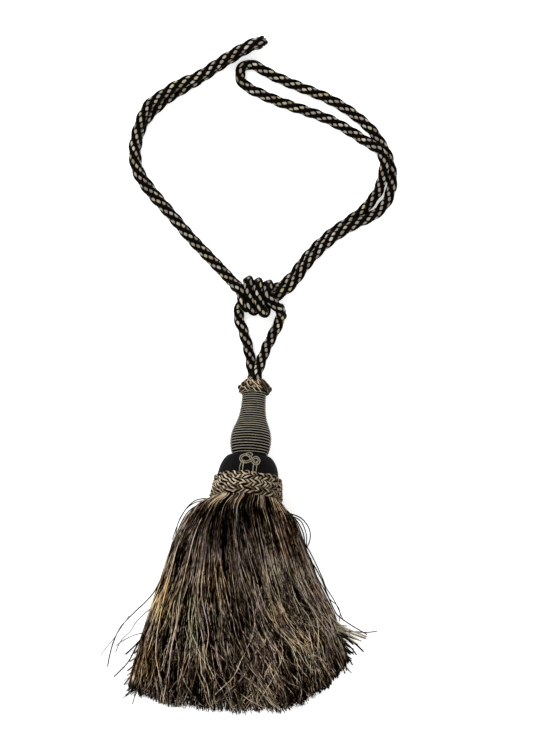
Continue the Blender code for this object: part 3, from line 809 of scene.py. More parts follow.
def wound_cord(name, stops, threads):
    """A cord of fine threads wound slantwise: tones along it, painted shade in the grooves
    between the threads, and a bump for each thread.
    """
    finish, bench, shader = new_finish(name, Specular_IOR_Level=0.01)
    _, along = bench.strands()
    spot = bench.spot()
    tone = bench.noise(bench.vector(along * 55.0), 1.0, 3.0)
    fine = bench.noise(spot, 2600.0, 2.0)
    ridge = (along * threads + bench.noise(spot, 900.0, 1.0)).zigzag()
    colour = bench.ramp((tone * 0.7 + fine * 0.3).step_up(0.25, 0.75), stops)
    # Painted shade in the grooves between the threads
    shaded = bench.blend(ridge * 0.5, colour, CORD_SHADE, "MULTIPLY")
    finish_with(bench, shader, shaded, 0.55 + fine * 0.25, 1.0 - ridge * ridge, CORD_BUMP)
    return finish


# %% Wind the neck
NECK_TURNS = 25.9
POINTS_PER_TURN = 56
TURNS_CLOSER = 0.13
MOULD_INSET = 1.1
# Each winding and its cord: where it starts, radius and inset in millimetres, threads and tones
NECK_CORDS = [
    ("neck_winding", "neck_pale_cord", 0.4, 0.335, 0.40, 1500.0, [
        (0.0, (0.20, 0.176, 0.134)), (0.5, (0.345, 0.312, 0.242)), (1.0, (0.48, 0.44, 0.355))]),
    ("neck_winding_dark", "neck_dark_cord", 0.4 + math.pi, 0.40, 1.05, 1700.0, [
        (0.0, (0.0015, 0.0012, 0.001)), (1.0, (0.006, 0.0045, 0.004))]),
]
neck = turned_mesh("neck_mould", [(h, r - MOULD_INSET) for h, r in NECK_OUTLINE], steps=64,
                   finish=black_floss("neck_mould_floss", threads=900.0, lengthwise=False))
on_head(neck, "neck_winding", "neck")
outline_guide = guide_curve("neck_outline", [[
    Vector((r, 0.0, h)) * MM for h, r in smooth_line(vectors(NECK_OUTLINE), OUTLINE_PIECES)]])
for name, cord, start, cord_r, inset, threads, stops in NECK_CORDS:
    winding = cook(name, wind_mould, {
        "Outline": outline_guide, "Turns": NECK_TURNS, "Start": start,
        "Points": round(NECK_TURNS * POINTS_PER_TURN), "Cord radius": cord_r * MM,
        "Inset": inset * MM, "Closer": TURNS_CLOSER, "Sides": 8,
        "Yarn": wound_cord(cord, stops, threads)})
    on_head(winding, "neck_winding")
clear_away(outline_guide)

# %% [markdown]
# ## Twisted gimp
#
# The band, the motif and the ruff are made of gimp, several thin plies twisted round each other.
# One recipe serves them all. It copies the guide curve once for each ply and moves each copy
# aside, at its own angle. The guide's tilt says how far the plies have turned at each point, so
# the script decides where the twist runs one way or the other. The recipe also notes how far out
# each point lies, which the material needs to paint shade in the hollows between the plies.

# %% The gimp recipe
bench, wire = new_recipe("twist_gimp", object="Route", count="Plies, Sides, Seed",
                         number="Ply radius, Orbit, Odd sunk", material="Yarn")
position = bench.node("GeometryNodeInputPosition")
core = bench.note(bench.geometry(wire["Route"]), centre=position,
                  girth=bench.node("GeometryNodeInputRadius"))
girth = core.also("girth")
even = bench.node("GeometryNodeSetCurveRadius", None, {"Curve": core, "Radius": 1.0})
copies = bench.node("GeometryNodeDuplicateElements", {"domain": "SPLINE"},
                    {"Geometry": even, "Amount": wire["Plies"]})
number = copies.also("Duplicate Index")
phase = number * (2 * math.pi) / wire["Plies"]
orbit = wire["Orbit"] * (1.0 - (number % 2.0) * wire["Odd sunk"])
side = bench.node("GeometryNodeInputNormal")
up = bench.node("GeometryNodeInputTangent").vectors("CROSS_PRODUCT", side)
aside = side.scaled(phase.maths("COSINE") * orbit * girth)
aside = aside.vectors("ADD", up.scaled(phase.maths("SINE") * orbit * girth))
moved = bench.node("GeometryNodeSetPosition", None, {"Geometry": copies, "Offset": aside})
marked = bench.note(moved, along=bench.run(), ply=number)
from_core = position.vectors("DISTANCE", core.also("centre"), output=1)
island = bench.node("GeometryNodeInputMeshIsland")
twist_gimp = end_tubes(
    bench, wire, marked, wire["Ply radius"], (marked.also("ply"), marked.also("along")), girth,
    out=from_core / ((wire["Orbit"] + wire["Ply radius"]) * girth),
    tone=bench.chance(island, wire["Seed"], "3D"))

# %% Gimp finish
GIMP_THREADS = 1500.0
# How much of the tone comes from the ply, from blotches and from fine fibres, and its steps
FROM_PLY, FROM_BLOTCHES, FROM_FIBRES, TONE_EDGE = 0.35, 0.75, 0.25, (0.2, 0.85)
# GIMP_SHADE is painted shade in the grooves between the threads of a ply
GIMP_SHADE = (0.25, 0.22, 0.18)
# The colour of the painted shade on the side away from the light
SIDE_SHADE_COLOUR = (0.20, 0.17, 0.13)
GIMP_BUMP = 0.1 * MM


def gimp_finish(name, stops, dark_ply_and_hollow_shade, out_low, out_high, odd_dark=0.0, blotches=95.0,
                side_shade=None):
    """Pale plies with painted shade in the hollows between them. 'tone' varies from ply to ply,
    'out' is 1 on the crown. The dark colour is that painted shade, and with odd_dark it is also
    the own colour of every second ply.

    The last argument gives two places across the piece, in millimetres, and how much darker it
    is painted from the first to the second: a painted shade on the side away from the light.
    """
    finish, bench, shader = new_finish(name, Specular_IOR_Level=0.015)
    ply, along = bench.strands()
    spot = bench.spot()
    fine = bench.noise(spot, 2400.0, 2.0)
    mixed = bench.stored("tone") * FROM_PLY + bench.noise(spot, blotches, 3.0) * FROM_BLOTCHES
    mixed = (mixed + (fine - 0.5) * FROM_FIBRES).step_up(*TONE_EDGE)
    pale = bench.ramp(mixed, stops)
    # Painted shade: darker across the piece, towards the side away from the light
    if side_shade:
        side_shade_share = spot.part(0).step_up(side_shade[0] * MM, side_shade[1] * MM) * side_shade[2]
        pale = bench.blend(side_shade_share, pale, SIDE_SHADE_COLOUR, "MULTIPLY")
    ridge = (along * GIMP_THREADS + fine).zigzag()
    odd = ((ply + 0.1) % 2.0).maths("GREATER_THAN", 1.0) * odd_dark
    # Painted shade in the hollows: below the crown a ply takes the dark colour
    crown = bench.stored("out").step_up(out_low, out_high) * (1.0 - odd)
    shaded = bench.blend(ridge * 0.35, bench.blend(crown, dark_ply_and_hollow_shade, pale), GIMP_SHADE, "MULTIPLY")
    finish_with(bench, shader, shaded, 0.6 + fine * 0.2, crown * 0.2 - ridge * 0.8, GIMP_BUMP)
    return finish


def twist_along(line, lay):
    """The tilt at each point of a line whose plies turn once in this length."""
    tilts = [0.0]
    for a, b in zip(line, line[1:]):
        tilts.append(tilts[-1] + (b - a).length / lay * 2 * math.pi)
    return tilts


def make_gimp(name, lines, finish, plies, ply_r, orbit, sides, seed, lay=None, odd_sunk=0.0,
              **guide):
    """Gimp along these lines. Sizes are in millimetres. A lay gives it an even twist."""
    if lay:
        guide["tilts"] = [twist_along(line, lay * MM) for line in lines]
    route = guide_curve(name + "_guide", lines, **guide)
    made = cook(name, twist_gimp, {
        "Route": route, "Plies": plies, "Ply radius": ply_r * MM, "Orbit": orbit * MM,
        "Odd sunk": odd_sunk, "Sides": sides, "Seed": seed, "Yarn": finish})
    clear_away(route)
    return made


# %% [markdown]
# ## The band
#
# Six rows of four-ply gimp are sewn round the top of the skirt. All rows are twisted the same
# way on one side of the band. On the other, every second row turns back, so that neighbours lean
# against each other like fish scales. The rows wander a little, because they are sewn by hand.

# %% Lay the band's rows
BAND_ROWS = 6
BAND_HIGH, BAND_LOW = 6.3, -13.6
BAND_R_HIGH, BAND_R_LOW = 28.45, 31.25
ROW_POINTS = 320
ROW_TWISTS = 20
TURN_BACK_AT = math.radians(-112.0)
# Waves round each row: how it wanders up and down, its depth, its girth and its uneven twist
ROW_WANDER = [(0.25, 3, 0.0, 1.7), (0.16, 19, 0.0, 2.9)]
TOP_EDGE_WAVE = [(0.6, 27, 0.0, 0.0)]
ROW_DEPTH = [(0.12, 5, 0.0, 1.0)]
ROW_SWELL = [(0.09, 11, 0.0, 2.1), (0.10, 37, 0.0, 1.0)]
ROW_UNEVEN = [(1.2, 4, 0.0, 2.3), (0.7, 13, 0.0, 1.0)]
BAND_TONES = [
    (0.0, (0.05, 0.032, 0.018)), (0.3, (0.20, 0.150, 0.095)), (0.55, (0.46, 0.365, 0.26)),
    (0.8, (0.72, 0.61, 0.47)), (1.0, (0.46, 0.40, 0.24))]


def turn_back(angle):
    """How far round from where the twist turns back, the same on both sides of it."""
    away = (angle - TURN_BACK_AT) % (2 * math.pi)
    return min(away, 2 * math.pi - away)


def band_row(row):
    """The places, the tilts and the girths along one row."""
    share = (row + 0.5) / BAND_ROWS
    wander = ROW_WANDER + [(0.25, 7, 0.0, row)] + (TOP_EDGE_WAVE if row == 0 else [])
    line, tilts, girths = [], [], []
    for i in range(ROW_POINTS):
        angle = 2 * math.pi * i / ROW_POINTS
        height = BAND_HIGH + (BAND_LOW - BAND_HIGH) * share + waves(wander, angle, row)
        r = BAND_R_HIGH + (BAND_R_LOW - BAND_R_HIGH) * share + waves(ROW_DEPTH, angle, row)
        line.append(Vector((r * math.cos(angle), r * math.sin(angle), height)) * MM)
        turned = -turn_back(angle) if row % 2 else angle
        tilts.append(turned * ROW_TWISTS + waves(ROW_UNEVEN, angle, row) + 0.4 * row)
        girths.append(1.0 + waves(ROW_SWELL, angle, row))
    return line, tilts, girths


lines, tilts, girths = zip(*(band_row(row) for row in range(BAND_ROWS)))
# The band's finish paints shade darker towards its right side, away from the light
band = make_gimp(
    "band_rows", lines,
    gimp_finish("band_gimp_plies", BAND_TONES, (0.003, 0.0015, 0.0005), 0.68, 0.97,
                odd_dark=1.0, blotches=260.0, side_shade=(-10.0, 26.0, 0.52)),
    plies=4, ply_r=0.88, orbit=1.0, odd_sunk=0.36, sides=6, seed=3, tilts=tilts, girths=girths,
    closed=True)
on_head(band, "band_gimp", "band")

# %% [markdown]
# ## The motif
#
# A small gimp ornament lies on the front of the dome: a doubled cord tied in a figure of eight,
# with a small ring over its top and two pairs of legs that run down to the band. Each line is
# drawn flat, as sideways place, height along the axis and lift off the dome, and is then bent
# round the dome.

# %% Tie the motif
MOTIF_EIGHT = [
    (2.2, 17.8, 2.3), (-0.2, 20.9, 2.0), (-3.2, 22.3, 1.5), (-6.4, 21.0, 1.3), (-7.5, 18.4, 1.3),
    (-6.4, 15.9, 1.5), (-3.3, 14.8, 1.7), (-0.4, 15.8, 1.2), (2.4, 17.7, 0.8), (4.6, 19.8, 1.1),
    (6.6, 20.3, 1.2), (8.4, 18.8, 1.2), (8.7, 16.4, 1.2), (7.4, 14.3, 1.2), (5.2, 13.8, 1.4),
    (3.5, 15.4, 1.9),
]
MOTIF_RING = [
    (-0.4, 24.6, 2.6), (-2.6, 23.4, 2.6), (-2.4, 21.2, 2.6), (-0.2, 20.3, 2.6), (2.2, 21.3, 2.6),
    (2.2, 23.6, 2.6),
]
MOTIF_LEGS = [
    [(-5.8, 17.0, 0.6), (-7.0, 14.0, 0.6), (-7.9, 10.0, 0.6), (-8.1, 5.6, 0.8)],
    [(-4.4, 16.8, 0.6), (-4.9, 13.6, 0.6), (-5.1, 10.0, 0.6), (-5.3, 5.6, 0.8)],
    [(4.9, 17.0, 0.6), (4.2, 13.6, 0.6), (3.9, 10.0, 0.6), (4.1, 5.6, 0.8)],
    [(6.2, 16.8, 0.6), (7.1, 13.6, 0.6), (7.0, 10.0, 0.6), (6.8, 5.6, 0.8)],
]
MOTIF_PIECES = 5
MOTIF_PAIR_APART = 1.7
MOTIF_LAY = 3.0
MOTIF_TONES = [(0.0, (0.22, 0.19, 0.13)), (0.5, (0.40, 0.36, 0.26)), (1.0, (0.52, 0.47, 0.36))]
NECK_FOOT_R = 16.0


def on_dome(x, height, lift):
    """A point lifted off the dome, or off the neck above it."""
    r = max(radius_at(DOME_OUTLINE, height), NECK_FOOT_R) + lift
    return Vector((x, -math.sqrt(r * r - x * x), height)) * MM


def beside(line, aside):
    """The flat line moved sideways by this much. It is closed onto itself."""
    moved = []
    for i, (x, height, lift) in enumerate(line):
        before, after = line[i - 1], line[(i + 1) % len(line)]
        along = Vector((after[0] - before[0], after[1] - before[1])).normalized()
        moved.append((x - along.y * aside, height + along.x * aside, lift))
    return moved


def motif_lines():
    eight, ring = (smooth_line(vectors(line + line[:1]), MOTIF_PIECES)[:-1]
                   for line in (MOTIF_EIGHT, MOTIF_RING))
    loops = [beside(eight, MOTIF_PAIR_APART / 2), beside(eight, -MOTIF_PAIR_APART / 2), ring]
    loops = [loop + loop[:1] for loop in loops]
    legs = [smooth_line(vectors(leg), MOTIF_PIECES) for leg in MOTIF_LEGS]
    return [[on_dome(*point) for point in line] for line in loops + legs]


motif = make_gimp(
    "motif", motif_lines(), gimp_finish("motif_plies", MOTIF_TONES, (0.05, 0.04, 0.03), 0.45, 0.8),
    plies=2, ply_r=0.28, orbit=0.15, sides=6, seed=5, lay=MOTIF_LAY)
on_head(motif, "motif_gimp", "motif")

# %% [markdown]
# ## The ruff
#
# Where the rope enters the head, a collar of gimp loops hides the join. Every loop starts near
# the rope, leans out over the top of the neck and comes back. There are two tiers, a wide lower
# one and a short upper one, and no two loops are quite alike. A dark collar lies inside them, a
# painted shade for the gaps between them. A small rolled end sits at the right, and a little ring
# at the left.

# %% Fold the ruff
RUFF_TIERS = [
    # loops, first angle, inner radius and height, tip radius and height, half width in radians
    (19, 0.10, 9.2, 91.0, 13.2, 83.9, 0.130),
    (15, 0.32, 9.0, 93.4, 13.4, 87.6, 0.150),
    (10, 0.05, 7.2, 95.4, 10.4, 92.0, 0.210),
]
RUFF_LEAN = (0.22, 0.62)
RUFF_LAY = 26.0
RUFF_PIECES = 7
RUFF_ROLL = (13.2, -2.5, 87.4)
RUFF_RING = (-13.0, -2.0, 87.6)
# The rolled end and the little ring: points, the turn and the step from one to the next, radius
ROLL_POINTS, ROLL_TURN, ROLL_STEP, ROLL_R, ROLL_SWELL = 40, 0.42, 0.11, 0.5, 1.6
RING_POINTS, RING_TURN, RING_STEP, RING_R = 15, math.radians(24.0), 0.1, 1.7
RUFF_CORE = [(82.2, 10.2), (86.0, 10.8), (91.0, 9.8), (94.6, 8.2)]
RUFF_TONES = [
    (0.0, (0.07, 0.050, 0.036)), (0.3, (0.28, 0.20, 0.14)), (0.55, (0.52, 0.41, 0.32)),
    (0.8, (0.70, 0.54, 0.32)), (1.0, (0.74, 0.62, 0.50))]
RUFF_DARK_TONES = [(0.0, (0.03, 0.032, 0.028)), (1.0, (0.16, 0.15, 0.12))]


def round_axis(angle, radius, height):
    return Vector((radius * math.cos(angle), radius * math.sin(angle), height))


def ruff_loops():
    chance = random.Random(11)
    lines = []
    for loops, first, r_in, d_in, r_tip, d_tip, half in RUFF_TIERS:
        for i in range(loops):
            angle = first + 2 * math.pi * (i + chance.uniform(-0.22, 0.22)) / loops
            reach = chance.uniform(0.84, 1.06)
            droop = chance.uniform(-0.5, 0.7)
            lean = chance.uniform(*RUFF_LEAN)
            wide = half * chance.uniform(0.7, 1.15)
            tip_r, tip_d = r_in + (r_tip - r_in) * reach, d_tip + droop
            mid_r, mid_d = r_in + (tip_r - r_in) * 0.72, tip_d + (d_in - tip_d) * 0.52
            points = [
                round_axis(angle - wide * 0.5, r_in, d_in),
                round_axis(angle - wide * 1.1 + lean * 0.5, mid_r, mid_d),
                round_axis(angle + lean, tip_r, tip_d),
                round_axis(angle + wide * 1.1 + lean * 0.6, mid_r - 0.8, mid_d - 0.8),
                round_axis(angle + wide * 0.5, r_in - 0.6, d_in - 0.8),
            ]
            lines.append([p * MM for p in smooth_line(points, RUFF_PIECES)])
    return lines


def ruff_ends():
    """The rolled end at the right and the little ring at the left."""
    roll, ring = [], []
    for i in range(ROLL_POINTS):
        angle = i * ROLL_TURN
        r = ROLL_R + ROLL_SWELL * math.sin(math.pi * (i + 1) / (ROLL_POINTS + 2))
        along = (i - ROLL_POINTS / 2) * ROLL_STEP
        roll.append(Vector((r * math.cos(angle), along, r * math.sin(angle))))
    for i in range(RING_POINTS):
        angle = RING_TURN * i
        ring.append(Vector((RING_R * math.cos(angle), RING_STEP * i, RING_R * math.sin(angle))))
    return [[(Vector(middle) + point) * MM for point in line]
            for middle, line in ((RUFF_ROLL, roll), (RUFF_RING, ring))]


# The dark collar's nearly black finish is painted shade for the gaps between the loops
collar = turned_mesh("ruff_core", RUFF_CORE, steps=32, finish=shade_filler("ruff_core_shade_fill"))
# The ruff's finish paints shade darker towards its right side, away from the light
ruff_pale = gimp_finish("ruff_plies", RUFF_TONES, (0.004, 0.0025, 0.002), 0.70, 0.97,
                        odd_dark=0.95, side_shade=(9.0, 17.0, 0.7))
ruff_dark = gimp_finish("ruff_roll_plies", RUFF_DARK_TONES, (0.008, 0.007, 0.006), 0.5, 0.9)
ruff = make_gimp("ruff", ruff_loops(), ruff_pale, plies=3, ply_r=0.62, orbit=0.66, sides=6, seed=2,
                 lay=RUFF_LAY, odd_sunk=0.1)
rolled = make_gimp("ruff_ends", ruff_ends(), ruff_dark, plies=3, ply_r=0.50, orbit=0.35, sides=7,
                   seed=9, lay=4.0, odd_sunk=0.1)
for piece in (collar, ruff, rolled):
    on_head(piece, "ruff_loops", "ruff")

# %% [markdown]
# ## The skirt's guide surface
#
# The skirt is a bundle of cut yarn, bound at the top by the band and spread flat by its own
# weight. Rows from the band to the hem give its shape, as in the CAD solid: the left and right
# edges, how far the middle hangs below them, the heights of edge, crown and underside, a lean,
# and how uneven it is. The guide surface is never seen. Yarns find their places on it by its UV
# map, which tells how far round the bundle and how far down a point is.

# %% The guide surface
SKIRT_ROWS = [
    (-30.0, 92.3, 31.4, 87.8, 0, 39.5, 69.5, 9.5, 0.23, 0.0),
    (-44.0, 86.5, 37.0, 82.5, 2, 30.0, 65.5, 1.0, 0.16, 0.6),
    (-56.4, 72.0, 45.5, 73.0, 6, 19.0, 60.0, -8.0, 0.08, 1.2),
    (-66.3, 51.9, 52.5, 53.5, 12, 12.0, 53.0, -12.0, 0.02, 1.7),
    (-76.1, 22.3, 61.5, 26.8, 18, 9.0, 46.0, -14.0, 0.0, 2.2),
    (-86.0, -6.4, 71.5, 4.4, 24, 7.0, 40.0, -14.0, 0.0, 2.6),
    (-94.5, -32.4, 80.5, -13.5, 30, 6.0, 35.0, -14.0, 0.0, 2.9),
    (-100.5, -57.5, 86.5, -33.0, 35, 5.0, 31.0, -12.0, 0.0, 3.0),
    (-105.2, -77.0, 93.5, -53.0, 37, 4.0, 27.0, -10.0, 0.0, 3.0),
]
# How the hem is trimmed: where across, how wide, and how much longer it hangs there
HEM_TRIM = [(-0.4, 0.3, -7.5), (0.5, 0.3, 4.0)]
SKIRT_AROUND = 96
SKIRT_BETWEEN = 3
HEM_REACH = 7.0
ROOT_REACH = 4.0
ROOT_SHARE = -0.03
ROOT_NARROWER = 0.93
# The uneven locks, as waves round the skirt that drift on the way down
SKIRT_FOLDS = [(0.55, 9, 1.1, 1.3), (0.35, 17, 0.4, -0.9), (0.4, 5, 2.3, 0.0)]
FOLDS_FROM, FOLDS_RISE = 0.05, 1.4


def skirt_ring(row, share):
    """One section of the skirt, from its left edge over the top and back under."""
    x_left, y_left, x_right, y_right, bow, side, top, under, lean, fold = row
    left, right = Vector((x_left, y_left, 0.0)), Vector((x_right, y_right, 0.0))
    across = (right - left) / 2
    down = Vector((across.y, -across.x, 0.0)).normalized()
    ring = []
    for i in range(SKIRT_AROUND):
        angle = 2 * math.pi * i / SKIRT_AROUND
        u, rise = -math.cos(angle), math.sin(angle)
        z = side + (top - side if rise > 0 else side - under) * rise
        if rise > FOLDS_FROM:
            z += fold * waves(SKIRT_FOLDS, angle, share) * min(1.0, rise * FOLDS_RISE)
        place = (left + right) / 2 + across * u + down * bow * (1 - abs(u) ** 3)
        for middle, wide, longer in HEM_TRIM:
            place += down * longer * math.exp(-((u - middle) / wide) ** 2) * share ** 4
        place.y += lean * (z - side)
        place.z = max(z, 0.0)
        ring.append(place)
    return ring


def skirt_rings():
    """All sections with their share of the way down, and one more beyond each end."""
    columns = [smooth_line([float(v) for v in column], SKIRT_BETWEEN)
               for column in zip(*SKIRT_ROWS)]
    rows = list(zip(*columns))
    last = len(rows) - 1
    rings = [(i / last, skirt_ring(row, i / last)) for i, row in enumerate(rows)]
    first_ring = rings[0][1]
    middle = sum(first_ring, Vector()) / SKIRT_AROUND
    axis = (HEAD.to_3x3() @ Vector((0, 0, 1))).normalized()
    root = [middle + (p - middle) * ROOT_NARROWER + axis * ROOT_REACH for p in first_ring]
    beyond = []
    for before, here in zip(rings[-2][1], rings[-1][1]):
        step = (here - before).normalized() * HEM_REACH
        beyond.append(Vector((here.x + step.x, here.y + step.y, here.z)))
    hem_step = (rings[-1][1][SKIRT_AROUND // 4] - rings[-2][1][SKIRT_AROUND // 4]).length * last
    return [(ROOT_SHARE, root)] + rings + [(1 + HEM_REACH / hem_step, beyond)]


skirt_shape = bmesh.new()
shares, rings = zip(*skirt_rings())
skin_rings(skirt_shape, [[skirt_shape.verts.new(p * MM) for p in ring] for ring in rings],
           "skirt", shares, over=True)
skirt_surface = object_from("skirt_guide", skirt_shape)

# %% [markdown]
# ## Laying the yarns
#
# One recipe lays any number of yarns on the guide surface. A straight line of points is copied
# once for each yarn, and every point then asks three questions: how far round the bundle is its
# yarn, how far down is this point, and how deep in the bundle does it lie. Slow noise moves
# whole locks sideways and in and out. Faster noise, different for each yarn, makes single yarns
# wave. Towards the hem the middle of the skirt sweeps to the right, and its left edge a little to
# the left. A share of the thickness can be given too, which fills the inside of the bundle.

# %% The yarn recipe
# How far the yarns sweep round the bundle at the hem, and the edge's share of that
SWEEP = 0.105
EDGE_SWEEP = 0.55
# Noise scales: how many tufts, locks, bulges, waves, lifts and kinks the whole map holds
TUFTS_ROUND = 95.0
LOCKS_ROUND, LOCKS_DOWN = 15.0, 2.1
BULGES_ROUND, BULGES_DOWN = 34.0, 2.4
YARN_WAVES, BUNDLE_WAVES, BUNDLE_LIFTS, KINKS = 7.0, 6.0, 4.0, 26.0
TUFT_TRIM = 0.07
# How much of a yarn's tone and trim it shares with its bundle, and what it has for itself
TONE_SHARED, TONE_OWN = 0.22, (-0.04, 0.82)
TRIM_SHARED, TRIM_OWN = 0.8, (0.0, 0.2)
# How strong its own waves, its bundle's waves and its kinks are
YARN_WAVE, BUNDLE_WAVE, KINK = 0.35, 0.8, 0.08
BUNDLE_LIFT = 5.8 * MM
PALE_LIFT = 0.9 * MM
TIP_TAPER = 0.35
RIM_SHARE = 0.0005
# Keeps a yarn's first point on its own yarn where a division rounds down
ROUNDING = 0.0001

bench, wire = new_recipe(
    "lay_yarns", object="Guide", count="Yarns, Points, Seed, Sides",
    pair="Around, Start, End, Fill, Depth, Girth",
    number="Relief, Bundles, Lock sway, Yarn sway, Cross, Dive, Splay", material="Yarn")
guide = bench.geometry(wire["Guide"])
guide_map = bench.node("GeometryNodeInputNamedAttribute", {"data_type": "FLOAT_VECTOR"},
                       {"Name": "skirt"})
starts = bench.node("GeometryNodePoints", None, {"Count": wire["Yarns"]})
copies = bench.node("GeometryNodeInstanceOnPoints", None,
                    {"Points": starts, "Instance": bench.straight(wire["Points"])})
loose = bench.node("GeometryNodeRealizeInstances", None, {"Geometry": copies})
number = (bench.node("GeometryNodeInputIndex") / wire["Points"] + ROUNDING).floor()
share = bench.node("GeometryNodeSplineParameter")


def between(label, share):
    """The number at this share of an input pair."""
    low, high = (wire[end] for end in ends_of(label, True))
    return low + (high - low) * share


def drawn(low, high, turn):
    """A random number for each yarn, the same for all its points."""
    return bench.node("FunctionNodeRandomValue", {"data_type": "FLOAT"},
                      {2: low, 3: high, 7: number, 8: wire["Seed"] + float(turn)}, output=1)


def drawn_from(label, turn):
    return drawn(*(wire[end] for end in ends_of(label, True)), turn)


def shared(turn):
    """A random number from 0 to 1 for each bundle of yarns."""
    return bench.chance(bundle + float(turn), wire["Seed"])


def waving(which, waves_down, detail=1.0):
    """Noise down each yarn or bundle, round 0."""
    return bench.noise(bench.vector(which, down * waves_down, wire["Seed"]), 1.0, detail) - 0.5


base = between("Around", (number + drawn(0.0, 1.0, 1)) / wire["Yarns"])
bundle = (base * wire["Bundles"]).floor()
tone = shared(0.0) * TONE_SHARED + drawn(*TONE_OWN, 7)
start = drawn_from("Start", 2)
tuft = bench.noise(bench.vector(base * TUFTS_ROUND, wire["Seed"]), 1.0, 1.0) - 0.5
end = between("End", shared(0.37) * TRIM_SHARED + drawn(*TRIM_OWN, 3)) + tuft * TUFT_TRIM
down = start + (end - start) * share

# Sideways: locks, waves, crossing yarns, splayed bundles and the sweep
loosened = down.at_least(0.0) * 0.8 + 0.2
lock = bench.noise(bench.vector(base * LOCKS_ROUND, down * LOCKS_DOWN), 1.0, 2.0) - 0.5
wave = (waving(number * 3.17, YARN_WAVES) * YARN_WAVE
        + waving(bundle * 2.71, BUNDLE_WAVES, 1.5) * BUNDLE_WAVE + waving(number * 5.3, KINKS) * KINK)
crossing = drawn(-1.0, 1.0, 4)
splay = shared(0.71) * 2.0 - 1.0 + drawn(-0.4, 0.4, 8)
sideways = lock * wire["Lock sway"] + wave * wire["Yarn sway"]
sideways = sideways + crossing * crossing * crossing * wire["Cross"] * down
sideways = sideways + splay * (down - 0.5).at_least(0.0) * wire["Splay"]
middle_sweep = base.step_up(0.08, 0.24) * (1.0 - base.step_up(0.27, 0.50))
edge_sweep = base.step_up(0.0, 0.09) * (1.0 - base.step_up(0.09, 0.19))
swept = (middle_sweep - edge_sweep * EDGE_SWEEP) * down.step_up(0.10, 1.12) * SWEEP
around = (base + sideways * loosened + swept) % 1.0
around = around.at_least(RIM_SHARE).at_most(1.0 - RIM_SHARE)

# Inwards: the depth in the bundle, its bulges, lifted bundles and a dive at the end
bulk = bench.noise(bench.vector(base * BULGES_ROUND, down * BULGES_DOWN, 4.0), 1.0, 2.0)
lift = bench.noise(bench.vector(bundle * 5.7, down * BUNDLE_LIFTS, 9.0), 1.0, 1.0) - 0.5
depth = drawn_from("Depth", 6) + bulk * wire["Relief"] + lift * BUNDLE_LIFT * loosened
depth = depth - tone * tone * PALE_LIFT + share ** 3.0 * wire["Dive"]


def on_guide(value, around):
    return bench.node("GeometryNodeSampleUVSurface", {"data_type": "FLOAT_VECTOR"}, {
        "Mesh": guide, "Value": value, "Source UV Map": guide_map,
        "Sample UV": bench.vector(around, down)})


position = bench.node("GeometryNodeInputPosition")
outward = on_guide(bench.node("GeometryNodeInputNormal"), around)
filled = bench.node("ShaderNodeMix", {"data_type": "VECTOR"}, {
    0: drawn_from("Fill", 5), 4: on_guide(position, around),
    5: on_guide(position, 1.0 - around)}, output=1)
place = filled.vectors("SUBTRACT", outward.scaled(depth))
above = bench.vector(place.part(0), place.part(1), place.part(2).at_least(wire["Girth high"]))
laid = bench.node("GeometryNodeSetPosition", None, {"Geometry": loose, "Position": above})
told = bench.note(laid, tone=tone, down=down, along=bench.run(),
                  girth=between("Girth", tone) * (1.0 - share ** 8.0 * TIP_TAPER))
lay_yarns = end_tubes(
    bench, wire, told, 1.0, (told.also("along"), told.also("down")), told.also("girth"),
    tone=told.also("tone"))

# %% [markdown]
# The yarns are mixed in their box: black, dark brown, grey-brown and a few pale ones. Each has
# its own tone, and the share of pale ones changes over the skirt. Some parts lean to gold, olive
# or rust, as different dye lots do. Lighter dashes along a yarn are partly its own tone and partly
# painted highlights. The cut ends are painted darker, a painted shade between the tips, and so are
# the yarns where they leave the band, a painted shade under it.

# %% Yarn finish
YARN_STOPS = [
    (0.0, (0.0008, 0.0003, 0.0002)), (0.59, (0.0014, 0.0006, 0.0004)),
    (0.69, (0.017, 0.0110, 0.0070)), (0.805, (0.118, 0.091, 0.068)), (0.92, (0.34, 0.287, 0.226)),
    (1.0, (0.72, 0.635, 0.53))]
DYE_LOTS = [
    (0.24, (0.88, 0.94, 0.73)), (0.36, (0.90, 0.90, 0.87)), (0.47, (1.0, 0.88, 0.70)),
    (0.55, (0.95, 0.89, 0.86)), (0.66, (0.90, 0.79, 0.88)), (0.76, (1.0, 0.76, 0.60))]
# Middle x, middle y, half width and half height in millimetres, then colour and strength
YARN_PATCHES = [
    (-4, 95, 36, 9, (1.12, 1.07, 0.80), 0.8),
    (22, 82, 16, 12, (1.50, 1.36, 0.98), 0.8),
    (-1, 50, 26, 30, (0.22, 0.185, 0.215), 1.0),
    (-38, 58, 24, 28, (0.18, 0.148, 0.155), 0.95),
    (46, 50, 14, 24, (0.50, 0.40, 0.34), 0.9),
    (-60, 10, 24, 32, (0.64, 0.58, 0.48), 0.85),
    (-56, -60, 22, 22, (0.80, 0.74, 0.68), 0.8),
    (62, 0, 20, 30, (0.55, 0.52, 0.49), 0.8),
    (4, 4, 30, 24, (0.78, 0.75, 0.72), 0.8),
    (10, -66, 80, 36, (1.46, 1.42, 1.34), 0.75),
    (-76, 6, 10, 32, (1.90, 1.66, 0.98), 0.85),
    (-90, -54, 13, 22, (2.30, 1.88, 1.20), 0.85),
    (34, 60, 10, 20, (1.35, 0.92, 0.70), 0.6),
    (-26, 18, 12, 24, (1.55, 1.25, 0.85), 0.7),
    (-48, -22, 7, 30, (0.72, 0.90, 0.68), 0.7),
    (-6, 80, 6, 18, (0.62, 0.78, 0.88), 0.8),
    (56, -34, 16, 12, (1.40, 1.30, 0.85), 0.6),
    (30, -10, 14, 10, (1.50, 1.38, 0.85), 0.6),
    (82, -44, 12, 18, (0.34, 0.30, 0.27), 0.9),
    (62, -74, 14, 11, (0.30, 0.26, 0.24), 0.9),
]
